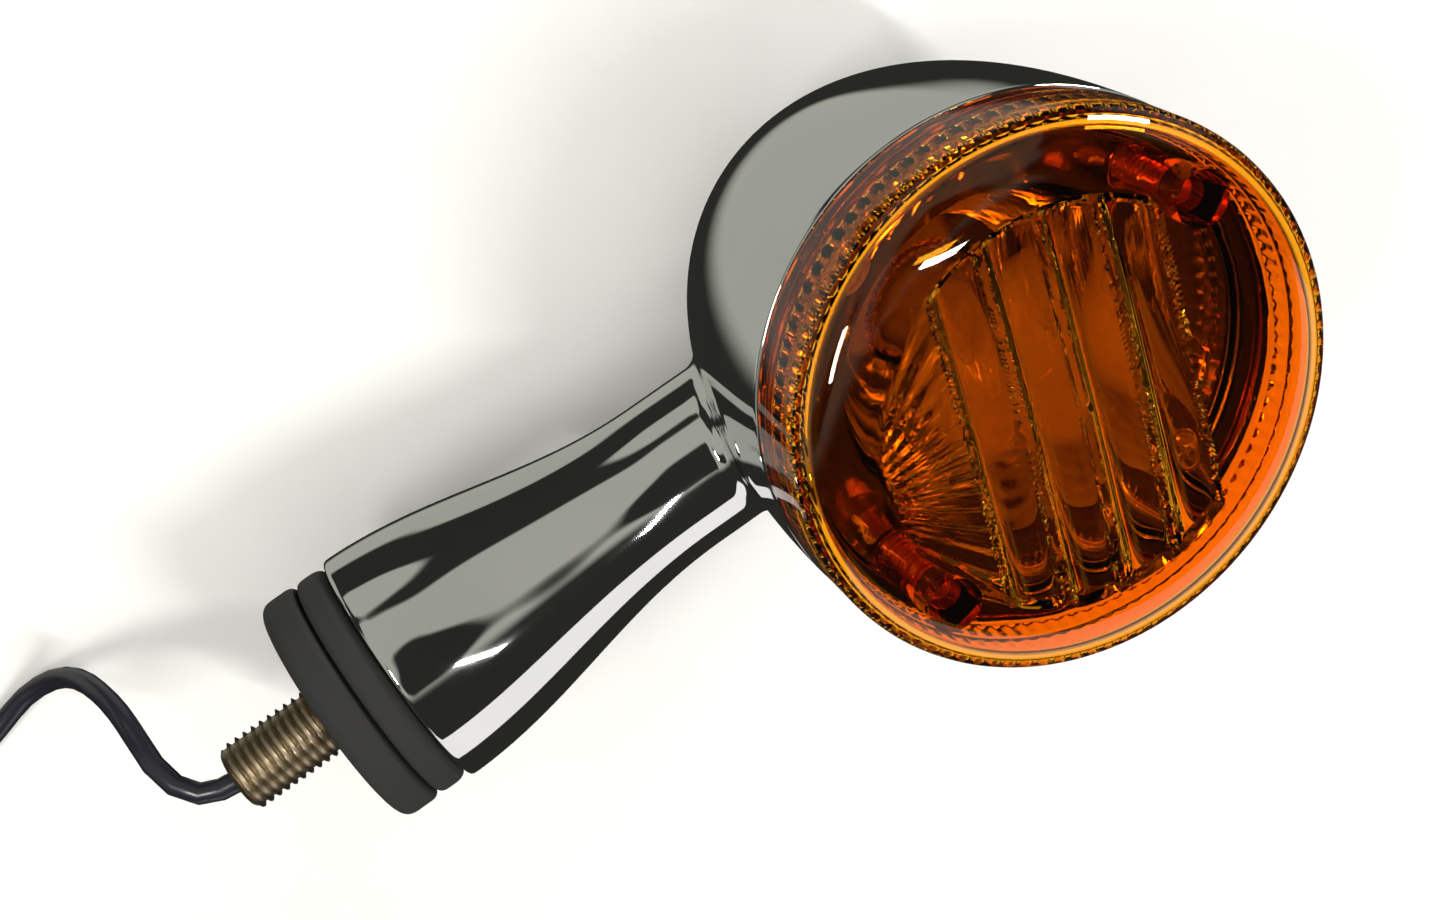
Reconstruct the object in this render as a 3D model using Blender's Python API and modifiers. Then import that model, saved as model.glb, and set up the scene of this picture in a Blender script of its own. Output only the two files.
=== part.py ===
"""Chrome motorcycle turn signal with an amber lens, a hollow mounting stud and its lead.

Metres, +Z up. The origin is on the stud's axis, where the rubber damper meets the bracket.
+X runs along the stalk to the lamp bowl, and +Z is the way the lens faces.
"""

import math

import bmesh
import bpy
from mathutils import Matrix, Vector

MM = 0.001
GAP = 0.3 * MM  # between two pieces that touch
AXIS_MERGE = 1e-5

# Lamp bowl: a turned shell about a vertical axis
BOWL_X = 95.0 * MM
LIP_Z = 29.6 * MM
LIP_BAND = 1.0 * MM
BOWL_R = 34.9 * MM
BOWL_DEPTH = 68.0 * MM
BOWL_ROUNDNESS = 2.2
BOWL_WALL = 2.2 * MM
LIP_WALL = 1.3 * MM
LEDGE_WIDTH = 2.6 * MM
LEDGE_DROP = 2.2 * MM
LEDGE_HEIGHT = 3.2 * MM
LEDGE_UNDERCUT = 1.5 * MM
BOWL_STEPS = 44

# Stalk: a bell at the damper that draws in to a straight tube
BELL_R = 17.0 * MM
BELL_LENGTH = 44.0 * MM
BELL_EDGE = 0.6 * MM
STALK_R = 10.75 * MM
STALK_WALL = 2.2 * MM
STALK_STEPS = 32
BELL_POINTS = 7
HOLLOW_POINTS = 5
BASE_WALL = 4.0 * MM
BOSS_R = 9.6 * MM
BOSS_LENGTH = 9.5 * MM
DRAFT = 1.0 * MM  # how far a cutter runs past the face it opens

# Rubber damper between the bell and the bracket
DAMPER_LENGTH = 9.8 * MM
DAMPER_R = 16.7 * MM
DAMPER_BACK_DISC = 5.2 * MM
DAMPER_GROOVE = 2.4 * MM
DAMPER_ROUND = 1.5 * MM
DAMPER_CLEARANCE = 0.4 * MM
DAMPER_STEP = 0.1 * MM  # the bell-side disc is this much smaller

# Hollow mounting stud, M10 x 1.25
STUD_R = 5.0 * MM
STUD_PITCH = 1.25 * MM
STUD_THREAD_DEPTH = 0.72 * MM
STUD_TURNS = 11
STUD_OUT = 14.8 * MM
STUD_BORE_R = 2.7 * MM
STUD_ROOT_R = 5.6 * MM
STUD_FLANGE_R = 7.6 * MM
STUD_FLANGE = 2.0 * MM
STUD_CHAMFER = 0.55 * MM
STUD_RELIEF = 0.1 * MM
STUD_STEPS = 18

# Lens
LENS_INSET = 0.1 * MM  # inside the bowl's lip
LENS_WALL = 2.4 * MM
LENS_SIDE = 10.4 * MM
LENS_HEIGHT = 16.0 * MM
LENS_SHOULDER = 9.0 * MM
LENS_DOME = 1.2 * MM
LENS_TONGUE = 1.0 * MM
GASKET_IN = 0.4 * MM

# Screws through the bowl into the lens, and the screws that hold the reflector
LENS_SCREW_ANGLES = (28.0, 208.0)
LENS_SCREW_R = 1.75 * MM
LENS_SCREW_HEAD_R = 3.1 * MM
LENS_SCREW_HEAD = 2.3 * MM
LENS_SCREW_BITE = 9.5 * MM
SCREW_CLEARANCE = 0.3 * MM
HEAD_SEAT_DROP = 15.0 * MM
COLUMN_R = 4.3 * MM
COLUMN_FOOT = -30.0 * MM
REFLECTOR_COLUMN_R = 3.7 * MM
REFLECTOR_COLUMN = 16.0 * MM
RIB_SHARE = 1.3
BOSS_ON_LENS_R = 3.4 * MM
REFLECTOR_SCREW_ANGLES = (118.0, 298.0)
REFLECTOR_SCREW_R = 1.4 * MM
REFLECTOR_SCREW_HEAD_R = 2.7 * MM
REFLECTOR_SCREW_HEAD = 1.6 * MM
REFLECTOR_SCREW_LENGTH = 9.0 * MM

# Reflector
REFLECTOR_DROP = 3.2 * MM  # its flange's top face below the lip
REFLECTOR_THICKNESS = 0.9 * MM
REFLECTOR_SHELF = 3.5 * MM  # from its hole to where the dish starts
REFLECTOR_AROUND_SOCKET = 0.75 * MM
REFLECTOR_DEPTH = 22.6 * MM
REFLECTOR_CLEARANCE = 0.5 * MM
DISH_OFFSET = 0.72 * MM  # the dish's outer face stands this far outside its inner one
DISH_POINTS = 5

# Bayonet socket
SOCKET_CLEARANCE = 0.25 * MM
SOCKET_WALL = 0.6 * MM
SOCKET_ABOVE_FLANGE = 1.8 * MM
SOCKET_LENGTH = 32.0 * MM
SOCKET_FLANGE_INSET = 0.4 * MM
SOCKET_FLANGE = 0.8 * MM
SOCKET_LIP_IN_R = 4.2 * MM
RIVET_FROM_HOLE = 1.6 * MM
RIVET_ANGLES = (97.0, 277.0)
RIVET_R = 0.7 * MM
RIVET_HEAD_R = 1.3 * MM
RIVET_HEAD = 0.6 * MM
PIN_R = 1.0 * MM
PIN_OUT = 1.25 * MM
SLOT_CLEARANCE = 0.45 * MM
SLOT_CUT = 3.0 * MM
SLOT_ANGLES = (0, 180)
SLIVER = 0.01 * MM  # keeps two cutters' faces apart
BULB_PUSH = 2.0 * MM
BULB_TWIST = 20.0

# Bulb: 15 mm bayonet cap and a pear-shaped globe
CAP_R = 7.5 * MM
CAP_LENGTH = 17.0 * MM
CAP_WALL = 0.5 * MM
CAP_FLOOR = 1.6 * MM
CAP_CHAMFER = 0.6 * MM
CAP_BELOW_MOUTH = 0.8 * MM
PIN_BELOW_CAP_TOP = 7.6 * MM
SOLDER_R = 2.4 * MM
SOLDER = 0.5 * MM
SOLDER_GAP = 0.1 * MM
GLOBE_R = 12.4 * MM
GLOBE_RISE = 20.6 * MM
NECK_CLEARANCE = 0.6 * MM
NECK_DEPTH = 11.0 * MM
NECK_FLARE = 1.2 * MM
NECK_RUN = 2.2 * MM
GLOBE_POINTS = 8
GLASS = 0.7 * MM
STEM_R = 3.0 * MM
STEM_LENGTH = 15.0 * MM
STEM_ROUND = 0.8 * MM
STEM_FOOT = 4.0 * MM
STEM_FOOT_R = 4.2 * MM
FILAMENT_R = 0.35 * MM
FILAMENT_RISE = 12.0 * MM
FILAMENT_HALF = 2.7 * MM

# Sprung contact below the bulb
CARRIER_CLEARANCE = 0.55 * MM
CARRIER = 1.9 * MM
CONTACT_HEAD_R = 2.4 * MM
CONTACT_HEAD = 0.7 * MM
CONTACT_PIN_R = 0.9 * MM
CONTACT_PIN_LENGTH = 14.9 * MM
PIN_HOLE_CLEARANCE = 0.3 * MM
SPRING_R = 5.2 * MM
SPRING_WIRE_R = 0.4 * MM
SPRING_TURNS = 4
SPRING_POINTS = 10
SPRING_LENGTH = 7.6 * MM
INSULATOR = 1.5 * MM
INSULATOR_CLEARANCE = 0.35 * MM

# Earth connection on the floor of the bowl
EARTH_Y = 15.5 * MM
EARTH_POST_R = 3.9 * MM
EARTH_POST_TOP = 55.0 * MM  # below the lip
EARTH_TAG_R = 3.5 * MM
EARTH_TAG = 0.8 * MM
EARTH_TAG_BARREL_R = 1.2 * MM
EARTH_TAG_BARREL = 5.0 * MM
EARTH_TAG_LAP = 0.5 * MM
EARTH_TAG_SINK = 0.2 * MM
EARTH_SCREW_R = 1.5 * MM
EARTH_SCREW_HEAD_R = 2.8 * MM
EARTH_SCREW_HEAD = 1.8 * MM
EARTH_SCREW_LENGTH = 6.4 * MM

# Lead and wires
LEAD_R = 1.5 * MM
WIRE_R = 0.65 * MM
SLEEVE_END_X = 34.0 * MM
SIGNAL_IN_STALK = [(40.3, -2.4, -0.5), (54.1, -2.8, -1.5)]
EARTH_IN_STALK = [(40.3, 2.4, -0.5), (54.1, 2.8, -1.5)]
SIGNAL_IN_BOWL = [(-34.0, -2.6, -2.5), (-27.0, -2.2, -7.0), (-21.0, -1.6, -16.0)]  # from the bowl's axis
EARTH_IN_BOWL = [(-34.0, 3.0, -2.5), (-27.0, 5.0, -7.0), (-21.0, 9.0, -16.0), (-15.0, 13.0, -25.0)]
FLOOR_Z = -39.6 * MM
LEAD_STEP = 7.0 * MM
WIRE_STEP = 4.0 * MM
COIL_CENTRE = (-66.0 * MM, 24.0 * MM)
COIL_R = 18.1 * MM
COIL_WIDTH = 6.3 * MM
COIL_HEIGHT = 6.2 * MM
TIE_WALL = 0.6 * MM
TIE_WIDTH = 3.0 * MM
TIE_SLACK = 0.2 * MM
TIE_ANGLE = 260.0
LEAD_ROUTE = [
    (-15.1, 0.0, 0.0), (-17.3, 0.2, -0.2), (-19.9, 1.2, -0.8), (-21.9, 3.6, -2.2),
    (-22.8, 6.6, -4.6), (-23.1, 9.4, -8.4), (-23.8, 11.4, -13.6), (-25.4, 12.6, -20.0),
    (-28.0, 13.0, -27.0), (-32.0, 12.4, -33.0), (-37.5, 11.0, -36.9), (-43.5, 8.9, -37.9),
    (-50.2, 6.9, -38.0),
]
SIGNAL_TAIL = [
    (-81.3, 40.5, -38.6), (-80.9, 43.6, -38.6), (-79.2, 46.0, -38.8), (-77.6, 48.2, -38.2),
    (-76.4, 50.95, -37.2),
]
EARTH_TAIL = [
    (-79.5, 41.9, -38.6), (-77.9, 43.6, -38.9), (-75.2, 46.2, -38.9), (-71.8, 48.4, -38.2),
    (-67.8, 49.9, -37.2),
]
BULLET_R = 1.9 * MM
BULLET_SHAFT_R = 1.2 * MM
BULLET_LENGTH = 13.0 * MM
BULLET_NOSE = 1.3 * MM
BULLET_SLEEVE_R = 2.4 * MM
BULLET_SLEEVE_LENGTH = 9.0 * MM
BULLET_SLEEVE_WALL = 0.35 * MM
BULLET_SLEEVE_BACK = 1.2 * MM

COLOURS = {
    "chrome": ((0.80, 0.80, 0.80, 1), 1.0, 0.06),
    "zinc": ((0.62, 0.52, 0.28, 1), 1.0, 0.35),
    "steel": ((0.55, 0.55, 0.56, 1), 1.0, 0.3),
    "brass": ((0.72, 0.53, 0.22, 1), 1.0, 0.3),
    "rubber": ((0.02, 0.02, 0.02, 1), 0.0, 0.65),
    "amber": ((0.85, 0.22, 0.01, 1), 0.0, 0.08),
    "reflector": ((0.78, 0.78, 0.76, 1), 1.0, 0.12),
    "phenolic": ((0.16, 0.07, 0.03, 1), 0.0, 0.5),
    "glass": ((0.9, 0.92, 0.93, 1), 0.0, 0.03),
    "tungsten": ((0.3, 0.3, 0.32, 1), 1.0, 0.35),
    "black_vinyl": ((0.015, 0.017, 0.025, 1), 0.0, 0.35),
    "blue_vinyl": ((0.03, 0.09, 0.35, 1), 0.0, 0.35),
    "clear_vinyl": ((0.75, 0.77, 0.78, 1), 0.0, 0.2),
}


def clear_scene():
    for obj in list(bpy.data.objects):
        bpy.data.objects.remove(obj, do_unlink=True)


def new_collection(name, hidden=False):
    made = bpy.data.collections.new(name)
    made.hide_render = hidden
    bpy.context.scene.collection.children.link(made)
    return made


def finish(name, mesh, colour):
    """Link a mesh as a visible part with its own material."""
    obj = bpy.data.objects.new(name, mesh)
    PARTS.objects.link(obj)
    base, metallic, roughness = COLOURS[colour]
    material = bpy.data.materials.new(name)
    material.use_nodes = True
    shader = material.node_tree.nodes["Principled BSDF"]
    shader.inputs["Base Color"].default_value = base
    shader.inputs["Metallic"].default_value = metallic
    shader.inputs["Roughness"].default_value = roughness
    mesh.materials.append(material)
    return obj


def as_cutter(name, mesh):
    obj = bpy.data.objects.new(name, mesh)
    CUTTERS.objects.link(obj)
    obj.hide_render = True
    obj.display_type = "WIRE"
    return obj


def profile_mesh(name, points, closed):
    """A profile in the XZ plane as loose edges, from (radius, height) points."""
    mesh = bpy.data.meshes.new(name)
    edges = [(i, i + 1) for i in range(len(points) - 1)]
    if closed:
        edges.append((len(points) - 1, 0))
    mesh.from_pydata([(r, 0, z) for r, z in points], edges, [])
    return mesh


def turned(name, points, steps, colour=None, closed=False, place=(BOWL_X, 0, 0), along_x=False):
    """A solid of revolution. Points run down the outer side; a closed profile makes a ring."""
    mesh = profile_mesh(name, points, closed)
    obj = finish(name, mesh, colour) if colour else as_cutter(name, mesh)
    screw = obj.modifiers.new("turn", "SCREW")
    screw.steps = screw.render_steps = steps
    screw.use_merge_vertices = True
    screw.merge_threshold = AXIS_MERGE
    screw.use_smooth_shade = True
    if along_x:
        obj.rotation_euler = (0, math.radians(90), 0)
    obj.location = place
    return obj


def along_stalk(points):
    """Profile points given as (x, radius), turned to run down the outer side of an X-facing turn."""
    return [(radius, x) for x, radius in reversed(points)]


def bar(name, radius, low, high, x, y, steps=20, colour=None):
    """An upright cylinder between two heights."""
    shape = bmesh.new()
    bmesh.ops.create_cone(
        shape, cap_ends=True, segments=steps, radius1=radius, radius2=radius, depth=high - low
    )
    bmesh.ops.translate(shape, verts=shape.verts, vec=(x, y, (low + high) / 2))
    return from_bmesh(name, shape, colour)


def block(name, size, centre, angle=0.0, about=(0, 0), colour=None):
    """A box turned by an angle about an upright axis."""
    shape = bmesh.new()
    bmesh.ops.create_cube(shape, size=1)
    bmesh.ops.scale(shape, verts=shape.verts, vec=size)
    bmesh.ops.translate(shape, verts=shape.verts, vec=centre)
    bmesh.ops.rotate(
        shape, verts=shape.verts, cent=(0, 0, 0), matrix=Matrix.Rotation(math.radians(angle), 3, "Z")
    )
    bmesh.ops.translate(shape, verts=shape.verts, vec=(about[0], about[1], 0))
    return from_bmesh(name, shape, colour)


def from_bmesh(name, shape, colour):
    mesh = bpy.data.meshes.new(name)
    shape.to_mesh(mesh)
    shape.free()
    return finish(name, mesh, colour) if colour else as_cutter(name, mesh)


def combine(obj, other, operation):
    """Cut a solid from an object or join one to it."""
    boolean = obj.modifiers.new(other.name, "BOOLEAN")
    boolean.operation = operation
    boolean.solver = "EXACT"
    boolean.object = other


def smooth_points(route, step):
    """Points about a step apart on a smooth curve through a route."""
    route = [Vector(p) for p in route]
    ends = [route[0] * 2 - route[1]] + route + [route[-1] * 2 - route[-2]]
    points = []
    for i in range(1, len(ends) - 2):
        a, b, c, d = ends[i - 1 : i + 3]
        count = max(1, round((c - b).length / step))
        for k in range(count):
            t = k / count
            points.append(
                0.5 * (2 * b + (c - a) * t + (2 * a - 5 * b + 4 * c - d) * t * t
                       + (3 * b - a - 3 * c + d) * t * t * t)
            )
    return points + [route[-1]]


def tube(name, points, radius, colour, resolution=2):
    """A round wire or lead along a polyline, with capped ends."""
    curve = bpy.data.curves.new(name, "CURVE")
    curve.dimensions = "3D"
    curve.bevel_depth = radius
    curve.bevel_resolution = resolution
    curve.use_fill_caps = True
    spline = curve.splines.new("POLY")
    spline.points.add(len(points) - 1)
    for point, place in zip(spline.points, points):
        point.co = (*place, 1)
    return finish(name, curve, colour)


def on_circle(radius, angle, centre=(BOWL_X, 0)):
    turn = math.radians(angle)
    return centre[0] + radius * math.cos(turn), centre[1] + radius * math.sin(turn)


def bowl_curve(radius, depth, top, steps):
    """Points down the bowl's rounded side, from its widest place to its axis."""
    power = 2 / BOWL_ROUNDNESS
    points = []
    for i in range(steps + 1):
        turn = math.pi / 2 * i / steps
        across = radius * max(math.cos(turn), 0) ** power
        points.append((across, top - depth * math.sin(turn) ** power))
    points[-1] = (0, top - depth)
    return points


# Heights and places that several pieces share
LEDGE_Z = LIP_Z - LEDGE_DROP
LEDGE_IN_R = BOWL_R - LIP_WALL - LEDGE_WIDTH
LENS_R = BOWL_R - LENS_INSET
LENS_FACE_R = LENS_R - LENS_SHOULDER
SOCKET_IN_R = CAP_R + SOCKET_CLEARANCE
CARRIER_R = SOCKET_IN_R - CARRIER_CLEARANCE
PIN_REACH = CAP_R + PIN_OUT
NECK_R = CAP_R - CAP_WALL - NECK_CLEARANCE
REFLECTOR_HOLE_R = SOCKET_IN_R + SOCKET_WALL + REFLECTOR_AROUND_SOCKET
REFLECTOR_THROAT_R = REFLECTOR_HOLE_R + REFLECTOR_SHELF
RIVET_CIRCLE_R = REFLECTOR_HOLE_R + RIVET_FROM_HOLE
SOCKET_FLANGE_R = REFLECTOR_THROAT_R - SOCKET_FLANGE_INSET
SCREW_CIRCLE_R = LEDGE_IN_R - BOSS_ON_LENS_R - GAP
REFLECTOR_MOUTH_R = SCREW_CIRCLE_R - COLUMN_R - REFLECTOR_THICKNESS - GAP
FLANGE_TOP = LIP_Z - REFLECTOR_DROP
FLANGE_BOTTOM = FLANGE_TOP - REFLECTOR_THICKNESS
COLUMN_TOP = FLANGE_BOTTOM - GAP
THROAT_TOP = FLANGE_TOP - REFLECTOR_DEPTH
THROAT_BOTTOM = THROAT_TOP - REFLECTOR_THICKNESS
SOCKET_FLANGE_TOP = THROAT_BOTTOM - GAP
SOCKET_FLANGE_BOTTOM = SOCKET_FLANGE_TOP - SOCKET_FLANGE
SOCKET_TOP = SOCKET_FLANGE_TOP + SOCKET_ABOVE_FLANGE
SOCKET_BOTTOM = SOCKET_TOP - SOCKET_LENGTH
CAP_TOP = SOCKET_TOP - CAP_BELOW_MOUTH
CAP_BOTTOM = CAP_TOP - CAP_LENGTH
PIN_Z = CAP_TOP - PIN_BELOW_CAP_TOP
CONTACT_TOP = CAP_BOTTOM - SOLDER - GAP
CARRIER_TOP = CONTACT_TOP - CONTACT_HEAD - GAP
CARRIER_BOTTOM = CARRIER_TOP - CARRIER
SPRING_TOP = CARRIER_BOTTOM - GAP
SPRING_BOTTOM = SPRING_TOP - SPRING_LENGTH
INSULATOR_TOP = SPRING_BOTTOM - GAP
BELL_X = DAMPER_LENGTH + GAP
STALK_IN_R = STALK_R - STALK_WALL
BORE_X = BELL_X + BASE_WALL + BOSS_LENGTH
TUBE_X = BELL_X + BELL_LENGTH
STALK_END_X = BOWL_X - BOWL_R / 2
EARTH_TOP = LIP_Z - EARTH_POST_TOP + GAP
BARREL_Z = EARTH_TOP + EARTH_TAG_BARREL_R - EARTH_TAG_SINK
CONTACT_PIN_BOTTOM = CONTACT_TOP - CONTACT_HEAD - CONTACT_PIN_LENGTH


def bell_radius(x, small, large):
    """The S-curve that draws the bell in to the tube."""
    share = min(max((x - BELL_X) / BELL_LENGTH, 0), 1)
    return small + (large - small) * (1 + math.cos(math.pi * share)) / 2


def stalk_outside():
    points = [(BELL_X, 0), (BELL_X, BELL_R - BELL_EDGE), (BELL_X + BELL_EDGE, BELL_R)]
    for i in range(1, BELL_POINTS):
        x = BELL_X + BELL_LENGTH * (i + 0.5) / BELL_POINTS
        points.append((x, bell_radius(x, STALK_R, BELL_R)))
    points += [(TUBE_X, STALK_R), (STALK_END_X, STALK_R), (STALK_END_X, 0)]
    profile = along_stalk(points)
    return turned("stalk_outside", profile, STALK_STEPS, place=(0, 0, 0), along_x=True)


def stalk_inside():
    """The stalk's hollow, with the boss that grips the stud left standing in it."""
    start = BELL_X + BASE_WALL
    large = BELL_R - STALK_WALL
    points = [(BORE_X, 0), (BORE_X, BOSS_R), (start, BOSS_R),
              (start, bell_radius(start, STALK_IN_R, large))]
    for i in range(1, HOLLOW_POINTS):
        x = start + (TUBE_X - start) * i / HOLLOW_POINTS
        points.append((x, bell_radius(x, STALK_IN_R, large)))
    end = STALK_END_X + GAP
    points += [(TUBE_X, STALK_IN_R), (end, STALK_IN_R), (end, 0)]
    profile = along_stalk(points)
    return turned("stalk_inside", profile, STALK_STEPS, place=(0, 0, 0), along_x=True)


def column(name, angle, radius, low):
    """A cast column with a rib that ties it to the bowl's wall."""
    x, y = on_circle(SCREW_CIRCLE_R, angle)
    made = bar(name, radius, low, COLUMN_TOP, x, y)
    reach = BOWL_R - BOWL_WALL / 2 - SCREW_CIRCLE_R
    rib = block(
        name + "_rib",
        (reach, radius * RIB_SHARE, COLUMN_TOP - low - GAP),
        (SCREW_CIRCLE_R + reach / 2, 0, (COLUMN_TOP + low) / 2),
        angle,
        (BOWL_X, 0),
    )
    combine(made, rib, "UNION")
    return made


def bowl_inside():
    """The bowl's hollow: the ledge for the gasket at its mouth, and the cast columns left standing."""
    ring_z = LEDGE_Z - LEDGE_HEIGHT
    side = bowl_curve(BOWL_R - BOWL_WALL, BOWL_DEPTH - BOWL_WALL, LIP_Z - LIP_BAND, 10)
    side = [p for p in side if p[1] < ring_z - LEDGE_UNDERCUT]
    mouth = LIP_Z + LIP_BAND
    points = [(0, mouth), (BOWL_R - LIP_WALL, mouth), (BOWL_R - LIP_WALL, LEDGE_Z),
              (LEDGE_IN_R, LEDGE_Z), (LEDGE_IN_R, ring_z)] + side
    hollow = turned("bowl_inside", points, BOWL_STEPS)
    for i, angle in enumerate(LENS_SCREW_ANGLES):
        made = column(f"lens_column_{i + 1}", angle, COLUMN_R, COLUMN_FOOT)
        combine(hollow, made, "DIFFERENCE")
    for i, angle in enumerate(REFLECTOR_SCREW_ANGLES):
        low = COLUMN_TOP - REFLECTOR_COLUMN
        made = column(f"reflector_column_{i + 1}", angle, REFLECTOR_COLUMN_R, low)
        combine(hollow, made, "DIFFERENCE")
    post = bar("earth_post", EARTH_POST_R, LIP_Z - BOWL_DEPTH, EARTH_TOP - GAP, BOWL_X, EARTH_Y)
    combine(hollow, post, "DIFFERENCE")
    return hollow


def housing():
    """Die-cast bowl and stalk in one piece."""
    outside = [(0, LIP_Z), (BOWL_R, LIP_Z)] + bowl_curve(BOWL_R, BOWL_DEPTH, LIP_Z - LIP_BAND, 11)
    made = turned("housing", outside, BOWL_STEPS, "chrome")
    combine(made, stalk_outside(), "UNION")
    combine(made, bowl_inside(), "DIFFERENCE")
    combine(made, stalk_inside(), "DIFFERENCE")
    bore_r = STUD_ROOT_R + GAP
    bore = along_stalk([(0, 0), (0, bore_r), (BORE_X + DRAFT, bore_r), (BORE_X + DRAFT, 0)])
    cutter = turned("stud_bore", bore, STUD_STEPS, place=(0, 0, 0), along_x=True)
    combine(made, cutter, "DIFFERENCE")
    for i, angle in enumerate(LENS_SCREW_ANGLES):
        combine(made, lens_screw_hole(f"lens_screw_hole_{i + 1}", angle), "DIFFERENCE")
    low = FLANGE_TOP - REFLECTOR_SCREW_LENGTH - DRAFT
    for i, angle in enumerate(REFLECTOR_SCREW_ANGLES):
        x, y = on_circle(SCREW_CIRCLE_R, angle)
        radius = REFLECTOR_SCREW_R + SCREW_CLEARANCE
        combine(made, bar(f"reflector_screw_hole_{i + 1}", radius, low, LIP_Z, x, y, 16), "DIFFERENCE")
    low = EARTH_TOP - EARTH_SCREW_LENGTH
    radius = EARTH_SCREW_R + SCREW_CLEARANCE
    hole = bar("earth_screw_hole", radius, low, EARTH_TOP + DRAFT, BOWL_X, EARTH_Y, 16)
    combine(made, hole, "DIFFERENCE")


def lens_screw_hole(name, angle):
    """The stepped hole up through a column: wide for the screw's head, then narrow for its shank."""
    seat = COLUMN_TOP - HEAD_SEAT_DROP
    below = LIP_Z - BOWL_DEPTH
    shank = LENS_SCREW_R + SCREW_CLEARANCE
    head = LENS_SCREW_HEAD_R + SCREW_CLEARANCE
    steps = [(0, LIP_Z), (shank, LIP_Z), (shank, seat), (head, seat), (head, below), (0, below)]
    return turned(name, steps, 18, place=(*on_circle(SCREW_CIRCLE_R, angle), 0))


def stud():
    """Hollow stud: a flange and a plain root inside the stalk, and a thread that stands out of it."""
    minor = STUD_R - STUD_THREAD_DEPTH
    plain = STUD_R - STUD_RELIEF
    points = [(-STUD_OUT, STUD_BORE_R), (-STUD_OUT, minor - STUD_RELIEF)]
    start = -STUD_OUT + STUD_CHAMFER
    for i in range(STUD_TURNS):
        x = start + i * STUD_PITCH
        points += [(x, minor), (x + 0.42 * STUD_PITCH, STUD_R), (x + 0.58 * STUD_PITCH, STUD_R)]
    thread_end = start + STUD_TURNS * STUD_PITCH
    root = BELL_X + GAP
    flange = BORE_X + GAP
    end = flange + STUD_FLANGE
    points += [(thread_end, minor), (thread_end + STUD_THREAD_DEPTH, plain), (root, plain),
               (root, STUD_ROOT_R), (flange, STUD_ROOT_R), (flange, STUD_FLANGE_R),
               (end, STUD_FLANGE_R), (end, STUD_BORE_R)]
    profile = along_stalk(points)
    turned("stud", profile, STUD_STEPS, "zinc", closed=True, place=(0, 0, 0), along_x=True)


def rounded_disc(start, end, radius, corner):
    """Outer points of one damper disc, as (x, radius)."""
    points = []
    for centre, first in ((start + corner, 180), (end - corner, 90)):
        for k in range(3):
            turn = math.radians(first - 45 * k)
            across = radius - corner + corner * math.sin(turn)
            points.append((centre + corner * math.cos(turn), across))
    return points


def mount_damper():
    bore = STUD_R + DAMPER_CLEARANCE
    front = DAMPER_BACK_DISC + GAP
    points = [(0, bore)] + rounded_disc(0, DAMPER_BACK_DISC, DAMPER_R, DAMPER_ROUND)
    groove = DAMPER_R - DAMPER_GROOVE
    points += [(DAMPER_BACK_DISC, groove), (front, groove)]
    points += rounded_disc(front, DAMPER_LENGTH, DAMPER_R - DAMPER_STEP, DAMPER_ROUND)
    profile = along_stalk(points + [(DAMPER_LENGTH, bore)])
    turned("mount_damper", profile, STALK_STEPS, "rubber", closed=True, place=(0, 0, 0), along_x=True)


def lens_profile():
    """Down the outer side from the crown, and back up the inner side."""
    rim = LIP_Z + GAP
    side = LIP_Z + LENS_SIDE
    face = LIP_Z + LENS_HEIGHT
    crown = face + LENS_DOME
    points = [(0, crown), (LENS_FACE_R / 2, crown - LENS_DOME / 4)]
    for i in range(5):
        turn = math.pi / 2 * (1 - i / 4)
        points.append((LENS_FACE_R + (LENS_R - LENS_FACE_R) * math.cos(turn),
                       side + (face - side) * math.sin(turn)))
    inner = LENS_R - LENS_WALL
    tongue = BOWL_R - LIP_WALL - GAP
    end = LIP_Z - LENS_TONGUE
    points += [(LENS_R, rim), (tongue, rim), (tongue, end), (inner, end), (inner, side)]
    for i in range(1, 4):
        turn = math.pi / 2 * i / 3
        points.append((LENS_FACE_R + (inner - LENS_FACE_R) * math.cos(turn),
                       side + (face - LENS_WALL - side) * math.sin(turn)))
    return points + [(0, crown - LENS_WALL)]


def lens():
    made = turned("lens", lens_profile(), BOWL_STEPS, "amber")
    top = LIP_Z + LENS_HEIGHT - LENS_WALL * 0.6
    for i, angle in enumerate(LENS_SCREW_ANGLES):
        x, y = on_circle(SCREW_CIRCLE_R, angle)
        boss = bar(f"lens_boss_{i + 1}", BOSS_ON_LENS_R, FLANGE_TOP + GAP, top, x, y, 18)
        combine(made, boss, "UNION")
        end = FLANGE_TOP + LENS_SCREW_BITE + DRAFT
        radius = LENS_SCREW_R + SCREW_CLEARANCE
        hole = bar(f"lens_boss_hole_{i + 1}", radius, FLANGE_TOP - DRAFT, end, x, y, 14)
        combine(made, hole, "DIFFERENCE")


def lens_gasket():
    """The flat ring between the lens's tongue and the ledge."""
    top = LIP_Z - LENS_TONGUE - GAP
    low = LEDGE_Z + GAP
    outer = BOWL_R - LIP_WALL - GAP
    inner = LEDGE_IN_R + GASKET_IN
    points = [(inner, top), (outer, top), (outer, low), (inner, low)]
    turned("lens_gasket", points, 36, "rubber", closed=True)


def pan_screw(name, shank_r, head_r, head, shank, place, colour, upward):
    """A pan-head screw. Its head sits at the place; upward, the shank points up from it."""
    down = [(0, head), (head_r * 0.75, head), (head_r, head * 0.55), (head_r, 0), (shank_r, 0),
            (shank_r, -shank + shank_r * 0.6), (shank_r * 0.45, -shank), (0, -shank)]
    if upward:
        down = [(r, -z) for r, z in reversed(down)]
    turned(name, down, 14, colour, place=place)


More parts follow.
